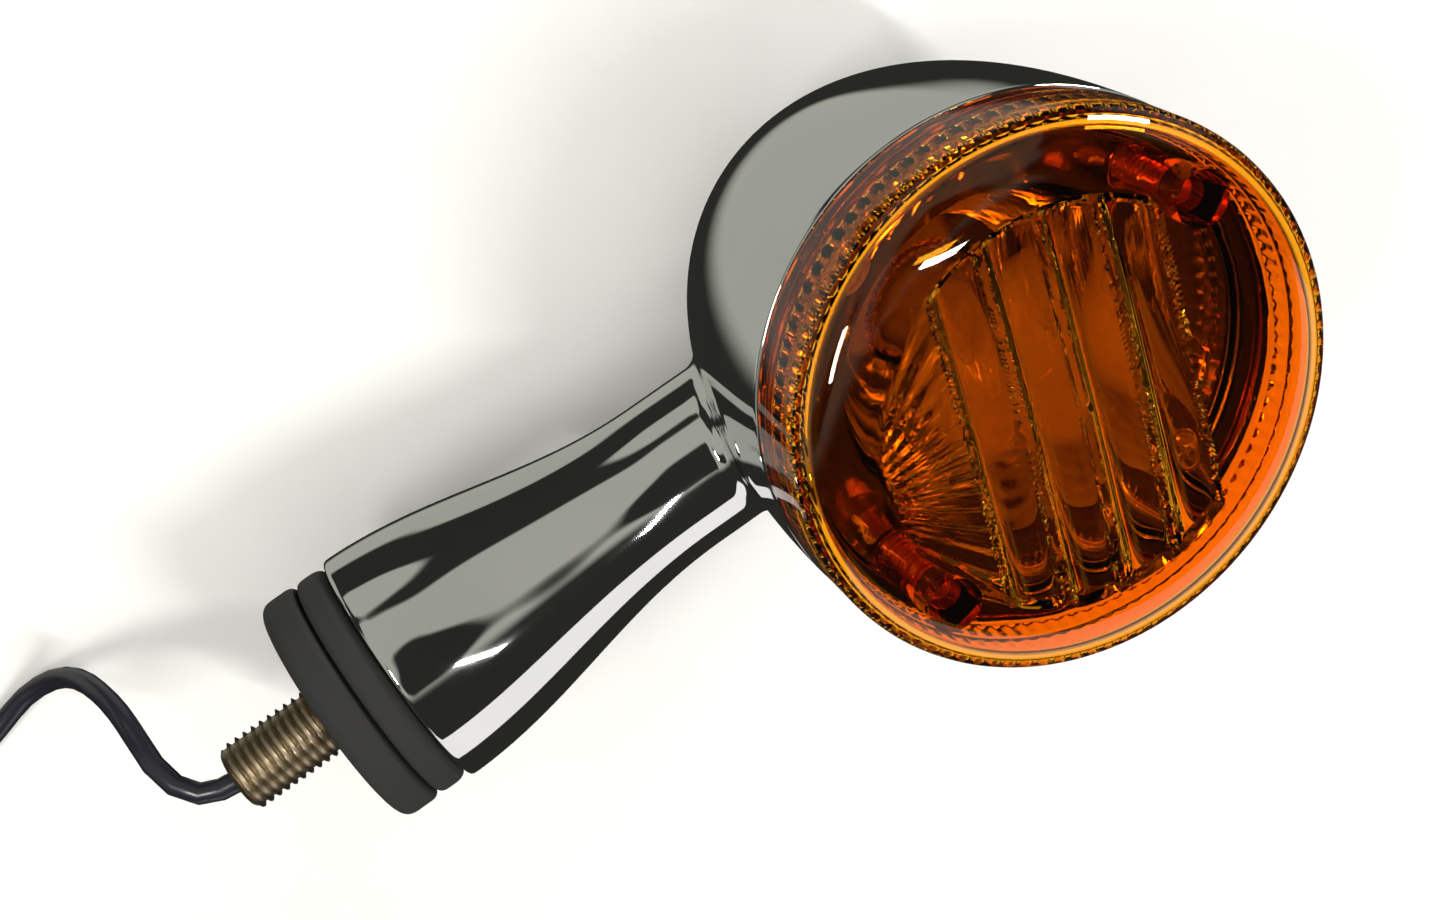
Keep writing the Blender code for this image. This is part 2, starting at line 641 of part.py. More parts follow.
def lens_screws():
    """The two long screws that hold the lens on from behind."""
    seat = COLUMN_TOP - HEAD_SEAT_DROP - GAP
    length = FLANGE_TOP + LENS_SCREW_BITE - seat
    for i, angle in enumerate(LENS_SCREW_ANGLES):
        place = (*on_circle(SCREW_CIRCLE_R, angle), seat)
        pan_screw(f"lens_screw_{i + 1}", LENS_SCREW_R, LENS_SCREW_HEAD_R, LENS_SCREW_HEAD, length,
                  place, "steel", True)


def dish_height(radius):
    """The reflector's inner face: a parabola from the throat to the mouth."""
    rise = REFLECTOR_DEPTH / (REFLECTOR_MOUTH_R**2 - REFLECTOR_THROAT_R**2)
    return THROAT_TOP + rise * (radius**2 - REFLECTOR_THROAT_R**2)


def reflector():
    """Spun dish with a flat flange at its mouth and a hole for the socket in its floor."""
    rise = REFLECTOR_MOUTH_R - REFLECTOR_THROAT_R
    radii = [REFLECTOR_THROAT_R + rise * i / DISH_POINTS for i in range(DISH_POINTS + 1)]
    edge = LEDGE_IN_R - REFLECTOR_CLEARANCE
    inner = [(REFLECTOR_HOLE_R, THROAT_TOP)] + [(r, dish_height(r)) for r in radii]
    outer = [(r + DISH_OFFSET, dish_height(r) - REFLECTOR_THICKNESS) for r in reversed(radii)]
    points = inner + [(edge, FLANGE_TOP), (edge, FLANGE_BOTTOM)] + outer + [(REFLECTOR_HOLE_R, THROAT_BOTTOM)]
    made = turned("reflector", points, 36, "reflector", closed=True)
    for i, angle in enumerate(LENS_SCREW_ANGLES + REFLECTOR_SCREW_ANGLES):
        x, y = on_circle(SCREW_CIRCLE_R, angle)
        shank = LENS_SCREW_R if i < len(LENS_SCREW_ANGLES) else REFLECTOR_SCREW_R
        hole = bar(f"reflector_hole_{i + 1}", shank + SCREW_CLEARANCE, FLANGE_BOTTOM - DRAFT,
                   FLANGE_TOP + DRAFT, x, y, 14)
        combine(made, hole, "DIFFERENCE")
    cut_rivet_holes(made, THROAT_BOTTOM, THROAT_TOP)


def cut_rivet_holes(made, low, high):
    for i, angle in enumerate(RIVET_ANGLES):
        x, y = on_circle(RIVET_CIRCLE_R, angle)
        name = f"{made.name}_rivet_hole_{i + 1}"
        hole = bar(name, RIVET_R + SCREW_CLEARANCE, low - DRAFT, high + DRAFT, x, y, 12)
        combine(made, hole, "DIFFERENCE")


def reflector_screws():
    for i, angle in enumerate(REFLECTOR_SCREW_ANGLES):
        place = (*on_circle(SCREW_CIRCLE_R, angle), FLANGE_TOP + GAP)
        pan_screw(f"reflector_screw_{i + 1}", REFLECTOR_SCREW_R, REFLECTOR_SCREW_HEAD_R,
                  REFLECTOR_SCREW_HEAD, REFLECTOR_SCREW_LENGTH, place, "steel", False)


def socket_shell():
    """Bayonet shell with a flange under the reflector and an L-shaped slot on each side."""
    outer = SOCKET_IN_R + SOCKET_WALL
    points = [(SOCKET_IN_R, SOCKET_TOP), (outer, SOCKET_TOP), (outer, SOCKET_FLANGE_TOP),
              (SOCKET_FLANGE_R, SOCKET_FLANGE_TOP), (SOCKET_FLANGE_R, SOCKET_FLANGE_BOTTOM),
              (outer, SOCKET_FLANGE_BOTTOM), (outer, SOCKET_BOTTOM), (SOCKET_LIP_IN_R, SOCKET_BOTTOM),
              (SOCKET_LIP_IN_R, SOCKET_BOTTOM + SOCKET_WALL), (SOCKET_IN_R, SOCKET_BOTTOM + SOCKET_WALL)]
    made = turned("socket_shell", points, 36, "brass", closed=True)
    for side in SLOT_ANGLES:
        cut_slot(made, side)
    cut_rivet_holes(made, SOCKET_FLANGE_BOTTOM, SOCKET_FLANGE_TOP)


def cut_slot(made, side):
    """One J-slot: a pocket as wide as the bulb's twist, and an entry from the mouth at its far end."""
    reach = PIN_R + SLOT_CLEARANCE
    low = PIN_Z - BULB_PUSH - reach
    high = PIN_Z + reach
    middle = SOCKET_IN_R + SOCKET_WALL
    for k in range(3):
        pocket = block(f"slot_{side}_{k}", (SLOT_CUT, 2 * reach, high - low),
                       (middle, 0, (low + high) / 2), side + BULB_TWIST * k / 2, (BOWL_X, 0))
        combine(made, pocket, "DIFFERENCE")
    top = SOCKET_TOP + DRAFT
    bottom = high - DRAFT
    entry = block(f"slot_entry_{side}", (SLOT_CUT + SLIVER, 2 * (reach - SLIVER), top - bottom),
                  (middle, 0, (top + bottom) / 2), side + BULB_TWIST, (BOWL_X, 0))
    combine(made, entry, "DIFFERENCE")


def socket_rivets():
    top = THROAT_TOP + GAP
    low = SOCKET_FLANGE_BOTTOM - GAP
    for i, angle in enumerate(RIVET_ANGLES):
        points = [(0, top + RIVET_HEAD), (RIVET_HEAD_R * 0.7, top + RIVET_HEAD), (RIVET_HEAD_R, top),
                  (RIVET_R, top), (RIVET_R, low), (RIVET_HEAD_R, low), (RIVET_HEAD_R * 0.7, low - RIVET_HEAD),
                  (0, low - RIVET_HEAD)]
        place = (*on_circle(RIVET_CIRCLE_R, angle), 0)
        turned(f"socket_rivet_{i + 1}", points, 12, "brass", place=place)


def socket_insulator():
    radius = SOCKET_IN_R - INSULATOR_CLEARANCE
    hole = CONTACT_PIN_R + PIN_HOLE_CLEARANCE
    low = INSULATOR_TOP - INSULATOR
    points = [(hole, INSULATOR_TOP), (radius, INSULATOR_TOP), (radius, low), (hole, low)]
    turned("socket_insulator", points, 24, "phenolic", closed=True)


def contact():
    """The carrier that slides in the socket, the brass pin through it, and the spring below it."""
    hole = CONTACT_PIN_R + PIN_HOLE_CLEARANCE
    disc = [(hole, CARRIER_TOP), (CARRIER_R, CARRIER_TOP), (CARRIER_R, CARRIER_BOTTOM),
            (hole, CARRIER_BOTTOM)]
    turned("contact_carrier", disc, 24, "phenolic", closed=True)
    head = CONTACT_TOP - CONTACT_HEAD
    pin = [(0, CONTACT_TOP), (CONTACT_HEAD_R * 0.7, CONTACT_TOP), (CONTACT_HEAD_R, head + GAP / 2),
           (CONTACT_HEAD_R, head), (CONTACT_PIN_R, head), (CONTACT_PIN_R, head - CONTACT_PIN_LENGTH),
           (0, head - CONTACT_PIN_LENGTH)]
    turned("contact_pin", pin, 16, "brass")
    points = []
    count = SPRING_TURNS * SPRING_POINTS
    low = SPRING_BOTTOM + SPRING_WIRE_R
    high = SPRING_TOP - SPRING_WIRE_R
    for i in range(count + 1):
        x, y = on_circle(SPRING_R, 360 * i / SPRING_POINTS)
        points.append((x, y, low + (high - low) * i / count))
    tube("contact_spring", points, SPRING_WIRE_R, "steel")


def bulb():
    """Metal cap with its two side pins, the solder contact below it, and the glass parts above."""
    inner = CAP_R - CAP_WALL
    floor = CAP_BOTTOM + CAP_FLOOR
    cap = [(0, floor), (inner, floor), (inner, CAP_TOP), (CAP_R, CAP_TOP), (CAP_R, CAP_BOTTOM + CAP_CHAMFER),
           (CAP_R - CAP_CHAMFER, CAP_BOTTOM), (0, CAP_BOTTOM)]
    made = turned("bulb_cap", cap, 28, "brass")
    for side in SLOT_ANGLES:
        combine(made, pin_bar(f"bayonet_pin_{side}", side), "UNION")
    top = CAP_BOTTOM - SOLDER_GAP
    low = CAP_BOTTOM - SOLDER
    turned("bulb_contact", [(0, top), (SOLDER_R, top), (SOLDER_R * 0.6, low), (0, low)], 16, "steel")
    bulb_glass()
    bulb_filament(CAP_TOP - NECK_DEPTH + GAP)


def lying_bar(name, radius, length, centre, angle=0.0, about=(0, 0), steps=14):
    """A cylinder along X, turned by an angle about an upright axis."""
    shape = bmesh.new()
    bmesh.ops.create_cone(
        shape, cap_ends=True, segments=steps, radius1=radius, radius2=radius, depth=length
    )
    for turn, axis in ((90, "Y"), (angle, "Z")):
        matrix = Matrix.Rotation(math.radians(turn), 3, axis)
        bmesh.ops.rotate(shape, verts=shape.verts, cent=(0, 0, 0), matrix=matrix)
        if axis == "Y":
            bmesh.ops.translate(shape, verts=shape.verts, vec=centre)
    bmesh.ops.translate(shape, verts=shape.verts, vec=(about[0], about[1], 0))
    return from_bmesh(name, shape, None)


def pin_bar(name, angle):
    """One bayonet pin, from inside the cap's wall outwards."""
    length = PIN_REACH - (CAP_R - CAP_WALL / 2)
    return lying_bar(name, PIN_R, length, (PIN_REACH - length / 2, 0, PIN_Z), angle, (BOWL_X, 0))


def glass_side(inset):
    """Down the globe and the neck, as (radius, height)."""
    centre = CAP_TOP + GLOBE_RISE
    radius = GLOBE_R - inset
    neck = NECK_R - inset
    stop = math.pi - math.asin((neck + NECK_FLARE) / radius)
    points = [(0, centre + radius)]
    for i in range(1, GLOBE_POINTS):
        turn = stop * i / (GLOBE_POINTS - 1)
        points.append((radius * math.sin(turn), centre + radius * math.cos(turn)))
    return points + [(neck, points[-1][1] - NECK_RUN), (neck, CAP_TOP - NECK_DEPTH)]


def bulb_glass():
    turned("bulb_glass", glass_side(0) + list(reversed(glass_side(GLASS))), 20, "glass")


def bulb_filament(low):
    """Glass stem, and the filament with its two supports as one bent wire."""
    top = low + STEM_LENGTH
    stem = [(0, top), (STEM_R * 0.8, top), (STEM_R, top - STEM_ROUND), (STEM_R, low + STEM_FOOT),
            (STEM_FOOT_R, low), (0, low)]
    turned("bulb_stem", stem, 16, "glass")
    base = top + GAP
    half = [(0.7, 0), (0.75, 0.35), (1.0, 0.88), (1.0, 1.0), (0.4, 1.04)]
    route = [(-across, rise) for across, rise in half] + list(reversed(half))
    points = [(BOWL_X + across * FILAMENT_HALF, 0, base + rise * FILAMENT_RISE) for across, rise in route]
    tube("bulb_filament", points, FILAMENT_R, "tungsten", 1)


def earth():
    """Ring terminal and its screw on the cast post."""
    hole = EARTH_SCREW_R + SCREW_CLEARANCE
    low = EARTH_TOP
    high = low + EARTH_TAG
    ring = [(hole, high), (EARTH_TAG_R, high), (EARTH_TAG_R, low), (hole, low)]
    made = turned("earth_terminal", ring, 20, "brass", closed=True, place=(BOWL_X, EARTH_Y, 0))
    middle = BOWL_X - EARTH_TAG_R - EARTH_TAG_BARREL / 2 + EARTH_TAG_LAP
    barrel = lying_bar("earth_barrel", EARTH_TAG_BARREL_R, EARTH_TAG_BARREL, (middle, EARTH_Y, BARREL_Z))
    combine(made, barrel, "UNION")
    pan_screw("earth_screw", EARTH_SCREW_R, EARTH_SCREW_HEAD_R, EARTH_SCREW_HEAD,
              EARTH_SCREW_LENGTH - DRAFT, (BOWL_X, EARTH_Y, high + GAP), "steel", False)


def inner_wires():
    """The lead's sleeve in the stud and the stalk, and the two wires that leave it."""
    sleeve = [(-STUD_OUT, 0, 0), (SLEEVE_END_X / 2, 0, 0), (SLEEVE_END_X, 0, 0)]
    tube("lead_inner", sleeve, LEAD_R, "black_vinyl")
    start = SLEEVE_END_X + GAP
    beside_pin = BOWL_X - CONTACT_PIN_R - WIRE_R - GAP
    axis = Vector((BOWL_X, 0, 0))
    signal = [(start, -0.8 * MM, 0)] + [Vector(p) * MM for p in SIGNAL_IN_STALK]
    signal += [axis + Vector(p) * MM for p in SIGNAL_IN_BOWL]
    signal += [(BOWL_X - 14 * MM, -1 * MM, CONTACT_PIN_BOTTOM - MM),
               (BOWL_X - 6 * MM, -0.3 * MM, CONTACT_PIN_BOTTOM - 3.6 * MM),
               (beside_pin - 1.2 * MM, 0, CONTACT_PIN_BOTTOM - 2.4 * MM),
               (beside_pin, 0, CONTACT_PIN_BOTTOM + 1.2 * MM)]
    tube("signal_wire", smooth_points(signal, WIRE_STEP), WIRE_R, "blue_vinyl")
    end = BOWL_X - EARTH_TAG_R - EARTH_TAG_BARREL + EARTH_TAG_LAP - GAP
    earthed = [(start, 0.8 * MM, 0)] + [Vector(p) * MM for p in EARTH_IN_STALK]
    earthed += [axis + Vector(p) * MM for p in EARTH_IN_BOWL]
    earthed += [(end - 2.5 * MM, EARTH_Y, BARREL_Z), (end, EARTH_Y, BARREL_Z)]
    tube("earth_wire", smooth_points(earthed, WIRE_STEP), WIRE_R, "black_vinyl")


def free_lead():
    """The lead outside the stud: a drop to the floor, a tied coil and two tails with bullets."""
    route = [Vector(p) * MM for p in LEAD_ROUTE]
    tube("lead", smooth_points(route, LEAD_STEP), LEAD_R, "black_vinyl")
    inner = COIL_R - COIL_WIDTH / 2
    outer = COIL_R + COIL_WIDTH / 2
    ring = [(inner, COIL_HEIGHT), (outer, COIL_HEIGHT), (outer, 0), (inner, 0)]
    turned("lead_coil", ring, 36, "black_vinyl", closed=True, place=(*COIL_CENTRE, FLOOR_Z))
    coil_tie()
    for name, points in (("signal", SIGNAL_TAIL), ("earth", EARTH_TAIL)):
        tail([Vector(p) * MM for p in points], name)


def coil_tie():
    """A flat strap over one place of the coil, open below."""
    width = COIL_WIDTH + 2 * (GAP + TIE_SLACK)
    height = COIL_HEIGHT + 2 * GAP
    middle = FLOOR_Z + (height + TIE_WALL) / 2
    made = block("coil_tie", (width + 2 * TIE_WALL, TIE_WIDTH, height + TIE_WALL), (COIL_R, 0, middle),
                 TIE_ANGLE, COIL_CENTRE, "black_vinyl")
    below = FLOOR_Z + (height - DRAFT) / 2
    opening = block("coil_tie_opening", (width, 2 * TIE_WIDTH, height + DRAFT), (COIL_R, 0, below),
                    TIE_ANGLE, COIL_CENTRE)
    combine(made, opening, "DIFFERENCE")


def tail(points, name):
    """A tail wire that ends in a bullet, with a clear sleeve over the bullet's back."""
    colour = "blue_vinyl" if name == "signal" else "black_vinyl"
    tube(f"tail_{name}", smooth_points(points, WIRE_STEP), WIRE_R, colour)
    direction = points[-1] - points[-2]
    direction.z = 0
    direction.normalize()
    start = points[-1] + direction * GAP
    turn = direction.to_track_quat("Z", "Y").to_euler()
    nose = BULLET_LENGTH - BULLET_NOSE
    barrel = BULLET_R * 0.9
    profile = [(0, BULLET_LENGTH), (BULLET_R * 0.55, BULLET_LENGTH), (BULLET_R, nose),
               (BULLET_R, nose - 2.1 * MM), (BULLET_SHAFT_R, nose - 2.9 * MM),
               (BULLET_SHAFT_R, nose - 5.2 * MM), (barrel, nose - 5.7 * MM), (barrel, 0), (0, 0)]
    bullet = turned(f"bullet_{name}", profile, 14, "brass", place=start)
    bullet.rotation_euler = turn
    inner = BULLET_SLEEVE_R - BULLET_SLEEVE_WALL
    top = BULLET_SLEEVE_LENGTH - BULLET_SLEEVE_BACK
    ring = [(inner, top), (BULLET_SLEEVE_R, top), (BULLET_SLEEVE_R, -BULLET_SLEEVE_BACK),
            (inner, -BULLET_SLEEVE_BACK)]
    sleeve = turned(f"bullet_sleeve_{name}", ring, 16, "clear_vinyl", closed=True, place=start)
    sleeve.rotation_euler = turn


clear_scene()
PARTS = new_collection("turn_signal")
CUTTERS = new_collection("cutters", hidden=True)
housing()
stud()
mount_damper()
lens()
lens_gasket()
lens_screws()
reflector()
reflector_screws()
socket_shell()
socket_rivets()
socket_insulator()
contact()
bulb()
earth()
inner_wires()
free_lead()
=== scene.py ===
"""Looks of a chrome bullet turn signal.

A mirror-bright bowl and stalk, a fluted amber lens, a rubber damper, a zinc stud and a vinyl lead.

Metres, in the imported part's own frame: +X along the stalk to the bowl, +Z the way the lens faces.
"""

import logging
import math
from dataclasses import dataclass
from enum import Enum
from typing import Callable, Iterable, Sequence

import bmesh
import bpy
from mathutils import Matrix, Vector

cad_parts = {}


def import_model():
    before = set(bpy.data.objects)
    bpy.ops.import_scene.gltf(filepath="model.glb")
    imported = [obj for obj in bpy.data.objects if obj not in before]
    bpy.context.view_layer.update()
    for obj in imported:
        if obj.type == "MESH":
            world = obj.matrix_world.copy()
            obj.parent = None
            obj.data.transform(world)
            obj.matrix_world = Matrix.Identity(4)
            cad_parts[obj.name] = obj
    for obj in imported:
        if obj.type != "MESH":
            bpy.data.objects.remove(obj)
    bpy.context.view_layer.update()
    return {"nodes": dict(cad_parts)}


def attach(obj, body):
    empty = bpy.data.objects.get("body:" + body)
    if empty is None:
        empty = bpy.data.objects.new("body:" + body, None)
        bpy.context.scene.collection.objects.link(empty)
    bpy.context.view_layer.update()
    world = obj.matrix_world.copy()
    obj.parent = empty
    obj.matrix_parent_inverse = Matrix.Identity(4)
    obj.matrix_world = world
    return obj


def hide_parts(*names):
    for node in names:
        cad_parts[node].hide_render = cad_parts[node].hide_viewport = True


LOG = logging.getLogger("turn_signal")
MM = 0.001
FULL_TURN = 2 * math.pi

FLOOR = -39.6 * MM

Point = tuple[float, float]
Spot = tuple[float, float, float]
Colour = tuple[float, float, float]


class Body(Enum):
    """The rigid bodies that pieces ride on."""

    LAMP = "lamp_body"
    LENS = "lens_cover"
    PLUNGER = "contact_plunger"
    BULB = "bulb"


class Grain(Enum):
    """The small-scale pattern of a finish."""

    CLOUD = "cloud"
    SPECKLE = "speckle"
    RINGS = "rings"


@dataclass(frozen=True)
class Finish:
    """One procedural surface finish, laid out in the object's own coordinates."""

    name: str
    base: Colour
    tint: Colour
    metallic: float = 0.0
    roughness: tuple[float, float] = (0.3, 0.4)
    grain: Grain = Grain.CLOUD
    scale: float = 120.0
    bump: float = 0.05
    bump_depth: float = 0.0001
    transmission: float = 0.0
    ior: float = 1.5
    specular: float = 0.5
    centre: Point = (0.095, 0.0)

    def material(self) -> bpy.types.Material:
        """Make the material, or find it if it is there already.

        Returns:
            The material with this finish's name.
        """
        found = bpy.data.materials.get(self.name)
        if found:
            return found
        made = bpy.data.materials.new(self.name)
        made.use_nodes = True
        nodes, links = made.node_tree.nodes, made.node_tree.links
        shader = nodes["Principled BSDF"]
        shader.inputs["Metallic"].default_value = self.metallic
        shader.inputs["Transmission Weight"].default_value = self.transmission
        shader.inputs["IOR"].default_value = self.ior
        shader.inputs["Specular IOR Level"].default_value = self.specular
        coords = nodes.new("ShaderNodeTexCoord").outputs["Object"]
        broad = self._pattern(nodes, links, coords, self.scale)
        fine = self._pattern(nodes, links, coords, self.scale * 6)
        ramp = nodes.new("ShaderNodeValToRGB")
        ramp.color_ramp.elements[0].position = 0.3
        ramp.color_ramp.elements[1].position = 0.75
        ramp.color_ramp.elements[0].color = (*self.base, 1)
        ramp.color_ramp.elements[1].color = (*self.tint, 1)
        links.new(broad, ramp.inputs["Fac"])
        links.new(ramp.outputs["Color"], shader.inputs["Base Color"])
        spread = nodes.new("ShaderNodeMapRange")
        spread.inputs["To Min"].default_value = self.roughness[0]
        spread.inputs["To Max"].default_value = self.roughness[1]
        links.new(fine, spread.inputs["Value"])
        links.new(spread.outputs["Result"], shader.inputs["Roughness"])
        if self.bump > 0:
            bump = nodes.new("ShaderNodeBump")
            bump.inputs["Strength"].default_value = self.bump
            bump.inputs["Distance"].default_value = self.bump_depth
            links.new(fine, bump.inputs["Height"])
            links.new(bump.outputs["Normal"], shader.inputs["Normal"])
        return made

    def _pattern(self, nodes, links, coords, scale: float) -> bpy.types.NodeSocket:
        """Add this finish's pattern at one scale.

        Args:
            nodes: The material's nodes.
            links: The material's links.
            coords: The socket that holds the object's own coordinates.
            scale: How many patches of the pattern there are in a metre.

        Returns:
            The socket with the pattern's value, from 0 to 1.
        """
        if self.grain is Grain.RINGS:
            move = nodes.new("ShaderNodeMapping")
            move.inputs["Location"].default_value = (-self.centre[0], -self.centre[1], 0)
            links.new(coords, move.inputs["Vector"])
            wave = nodes.new("ShaderNodeTexWave")
            wave.wave_type = "RINGS"
            wave.rings_direction = "Z"
            wave.inputs["Scale"].default_value = scale
            wave.inputs["Distortion"].default_value = 1.5
            links.new(move.outputs["Vector"], wave.inputs["Vector"])
            return wave.outputs["Fac"]
        noise = nodes.new("ShaderNodeTexNoise")
        noise.inputs["Scale"].default_value = scale
        noise.inputs["Detail"].default_value = 6.0 if self.grain is Grain.SPECKLE else 3.0
        noise.inputs["Roughness"].default_value = 0.65 if self.grain is Grain.SPECKLE else 0.45
        links.new(coords, noise.inputs["Vector"])
        return noise.outputs["Fac"]


CHROME = Finish("polished_chrome", (0.80, 0.81, 0.81), (0.86, 0.86, 0.87),
                1.0, (0.025, 0.05), scale=60, bump=0.01)
YELLOW_ZINC = Finish("yellow_zinc_plate", (0.36, 0.30, 0.22), (0.50, 0.41, 0.27),
                     1.0, (0.26, 0.44), Grain.SPECKLE, 260, 0.15)
RUBBER = Finish("damper_rubber", (0.006, 0.006, 0.006), (0.011, 0.0105, 0.01),
                0.0, (0.6, 0.8), Grain.SPECKLE, 320, 0.25, specular=0.25)
AMBER = Finish("amber_plastic", (0.98, 0.38, 0.012), (0.97, 0.34, 0.01),
               0.0, (0.01, 0.03), scale=40, bump=0.0, transmission=1.0, ior=1.49)
BRIGHT_DISH = Finish("bright_reflector", (0.82, 0.81, 0.78), (0.88, 0.87, 0.84),
                     1.0, (0.03, 0.08), Grain.RINGS, 380, 0.02)
STEEL = Finish("zinc_plated_steel", (0.52, 0.53, 0.54), (0.62, 0.63, 0.64),
               1.0, (0.22, 0.36), Grain.SPECKLE, 300, 0.1)
SPRING_STEEL = Finish("spring_wire", (0.40, 0.40, 0.42), (0.50, 0.50, 0.51),
                      1.0, (0.25, 0.4), Grain.SPECKLE, 400, 0.1)
BRASS = Finish("pressed_brass", (0.66, 0.46, 0.17), (0.74, 0.56, 0.26),
               1.0, (0.2, 0.34), Grain.SPECKLE, 240, 0.08)
CAP_BRASS = Finish("nickelled_cap", (0.66, 0.58, 0.42), (0.74, 0.68, 0.54),
                   1.0, (0.16, 0.3), Grain.SPECKLE, 240, 0.06)
SOLDER = Finish("solder_button", (0.50, 0.50, 0.49), (0.62, 0.62, 0.61),
                1.0, (0.3, 0.5), Grain.SPECKLE, 500, 0.3)
PHENOLIC = Finish("phenolic_board", (0.13, 0.055, 0.025), (0.19, 0.085, 0.04),
                  0.0, (0.4, 0.6), Grain.SPECKLE, 300, 0.2)
CLEAR_GLASS = Finish("bulb_glass", (0.97, 0.98, 0.98), (0.99, 0.99, 0.99),
                     0.0, (0.0, 0.01), scale=40, bump=0.0, transmission=1.0, ior=1.47)
TUNGSTEN = Finish("tungsten_wire", (0.22, 0.22, 0.24), (0.34, 0.34, 0.36),
                  1.0, (0.3, 0.45), Grain.SPECKLE, 800, 0.1)
BLACK_VINYL = Finish("black_vinyl", (0.010, 0.012, 0.020), (0.016, 0.018, 0.028),
                     0.0, (0.26, 0.42), Grain.SPECKLE, 260, 0.2)
BLUE_VINYL = Finish("blue_vinyl", (0.02, 0.06, 0.30), (0.035, 0.09, 0.38),
                    0.0, (0.28, 0.42), Grain.SPECKLE, 300, 0.15)
CLEAR_VINYL = Finish("clear_vinyl", (0.88, 0.90, 0.91), (0.93, 0.94, 0.95),
                     0.0, (0.08, 0.2), scale=300, bump=0.1, transmission=0.85, ior=1.5)
NYLON = Finish("black_nylon", (0.02, 0.02, 0.021), (0.03, 0.03, 0.03),
               0.0, (0.38, 0.52), Grain.SPECKLE, 300, 0.2)
PALE_FLOOR = Finish("pale_floor", (0.80, 0.80, 0.79), (0.84, 0.84, 0.83),
                    0.0, (0.6, 0.75), Grain.SPECKLE, 30, 0.05)

CAD_FINISHES: dict[str, tuple[Finish, str]] = {
    "lens_gasket": (RUBBER, "gasket_rubber"),
    "socket_shell": (BRASS, "socket_brass"),
    "socket_insulator": (PHENOLIC, "phenolic"),
    "contact_carrier": (PHENOLIC, "phenolic"),
    "contact_pin": (BRASS, "socket_brass"),
    "contact_spring": (SPRING_STEEL, "spring_steel"),
    "earth_terminal": (BRASS, "socket_brass"),
    "earth_screw": (STEEL, "screw_steel"),
    "lead_inner": (BLACK_VINYL, "black_vinyl"),
    "signal_wire": (BLUE_VINYL, "blue_vinyl"),
    "earth_wire": (BLACK_VINYL, "black_vinyl"),
}


@dataclass(frozen=True)
class Place:
    """Where a turned shape's axis runs."""

    origin: Spot = (0.0, 0.0, 0.0)
    axis: Spot = (0.0, 0.0, 1.0)
    side: Spot = (1.0, 0.0, 0.0)

    def point(self, radius: float, along: float) -> Vector:
        """Find the point at a distance from the axis, and at a distance along it from the origin."""
        return Vector(self.origin) + Vector(self.axis) * along + Vector(self.side) * radius


BOWL_X = 95.0 * MM
BOWL_AXIS = Place(origin=(BOWL_X, 0.0, 0.0))
STALK_AXIS = Place(axis=(1.0, 0.0, 0.0), side=(0.0, 0.0, 1.0))


def on_circle(radius: float, angle: float, centre: Point = (BOWL_X, 0.0)) -> Point:
    """Find a point on a level circle, at an angle in degrees from +X towards +Y."""
    turned = math.radians(angle)
    return centre[0] + radius * math.cos(turned), centre[1] + radius * math.sin(turned)


def smoothstep(low: float, high: float, value: float) -> float:
    """Ease from 0 where the value is low to 1 where it is high."""
    share = min(max((value - low) / (high - low), 0.0), 1.0)
    return share * share * (3 - 2 * share)


def rounded(corners: Sequence[Spot], closed: bool = False, count: int = 5) -> list[Point]:
    """Round a profile's corners.

    Args:
        corners: Each corner's radius from the axis, its height, and how much it is rounded.
        closed: Whether the last corner joins the first.
        count: How many points each arc has.

    Returns:
        The profile's points.
    """
    points: list[Point] = []
    total = len(corners)
    for i, (x, y, size) in enumerate(corners):
        here = Vector((x, y))
        if size <= 0 or (not closed and i in (0, total - 1)):
            points.append((x, y))
            continue
        before = Vector(corners[i - 1][:2]) - here
        after = Vector(corners[(i + 1) % total][:2]) - here
        reach = min(size, before.length * 0.49, after.length * 0.49)
        start, end = here + before.normalized() * reach, here + after.normalized() * reach
        for k in range(count):
            t = k / (count - 1)
            bend = start * (1 - t) ** 2 + here * 2 * t * (1 - t) + end * t * t
            points.append((bend.x, bend.y))
    return points


def turn(profile: Sequence[Point], place: Place, steps: int, closed: bool = False) -> bmesh.types.BMesh:
    """Turn a profile about its axis.

    Args:
        profile: The radius and height of each point.
        place: Where the axis runs.
        steps: How many faces go round.
        closed: Whether the profile is a loop, so that the shape is a ring.

    Returns:
        The turned shape, with its normals facing out.
    """
    shape = bmesh.new()
    verts = [shape.verts.new(place.point(r, h)) for r, h in profile]
    edges = [shape.edges.new(pair) for pair in zip(verts, verts[1:])]
    if closed:
        edges.append(shape.edges.new((verts[-1], verts[0])))
    bmesh.ops.spin(
        shape, geom=verts + edges, cent=place.origin, axis=place.axis, dvec=(0, 0, 0),
        angle=FULL_TURN, steps=steps, use_merge=True, use_duplicate=False,
    )
    bmesh.ops.remove_doubles(shape, verts=shape.verts, dist=1e-6)
    bmesh.ops.dissolve_degenerate(shape, edges=shape.edges, dist=1e-7)
    bmesh.ops.recalc_face_normals(shape, faces=shape.faces)
    return shape


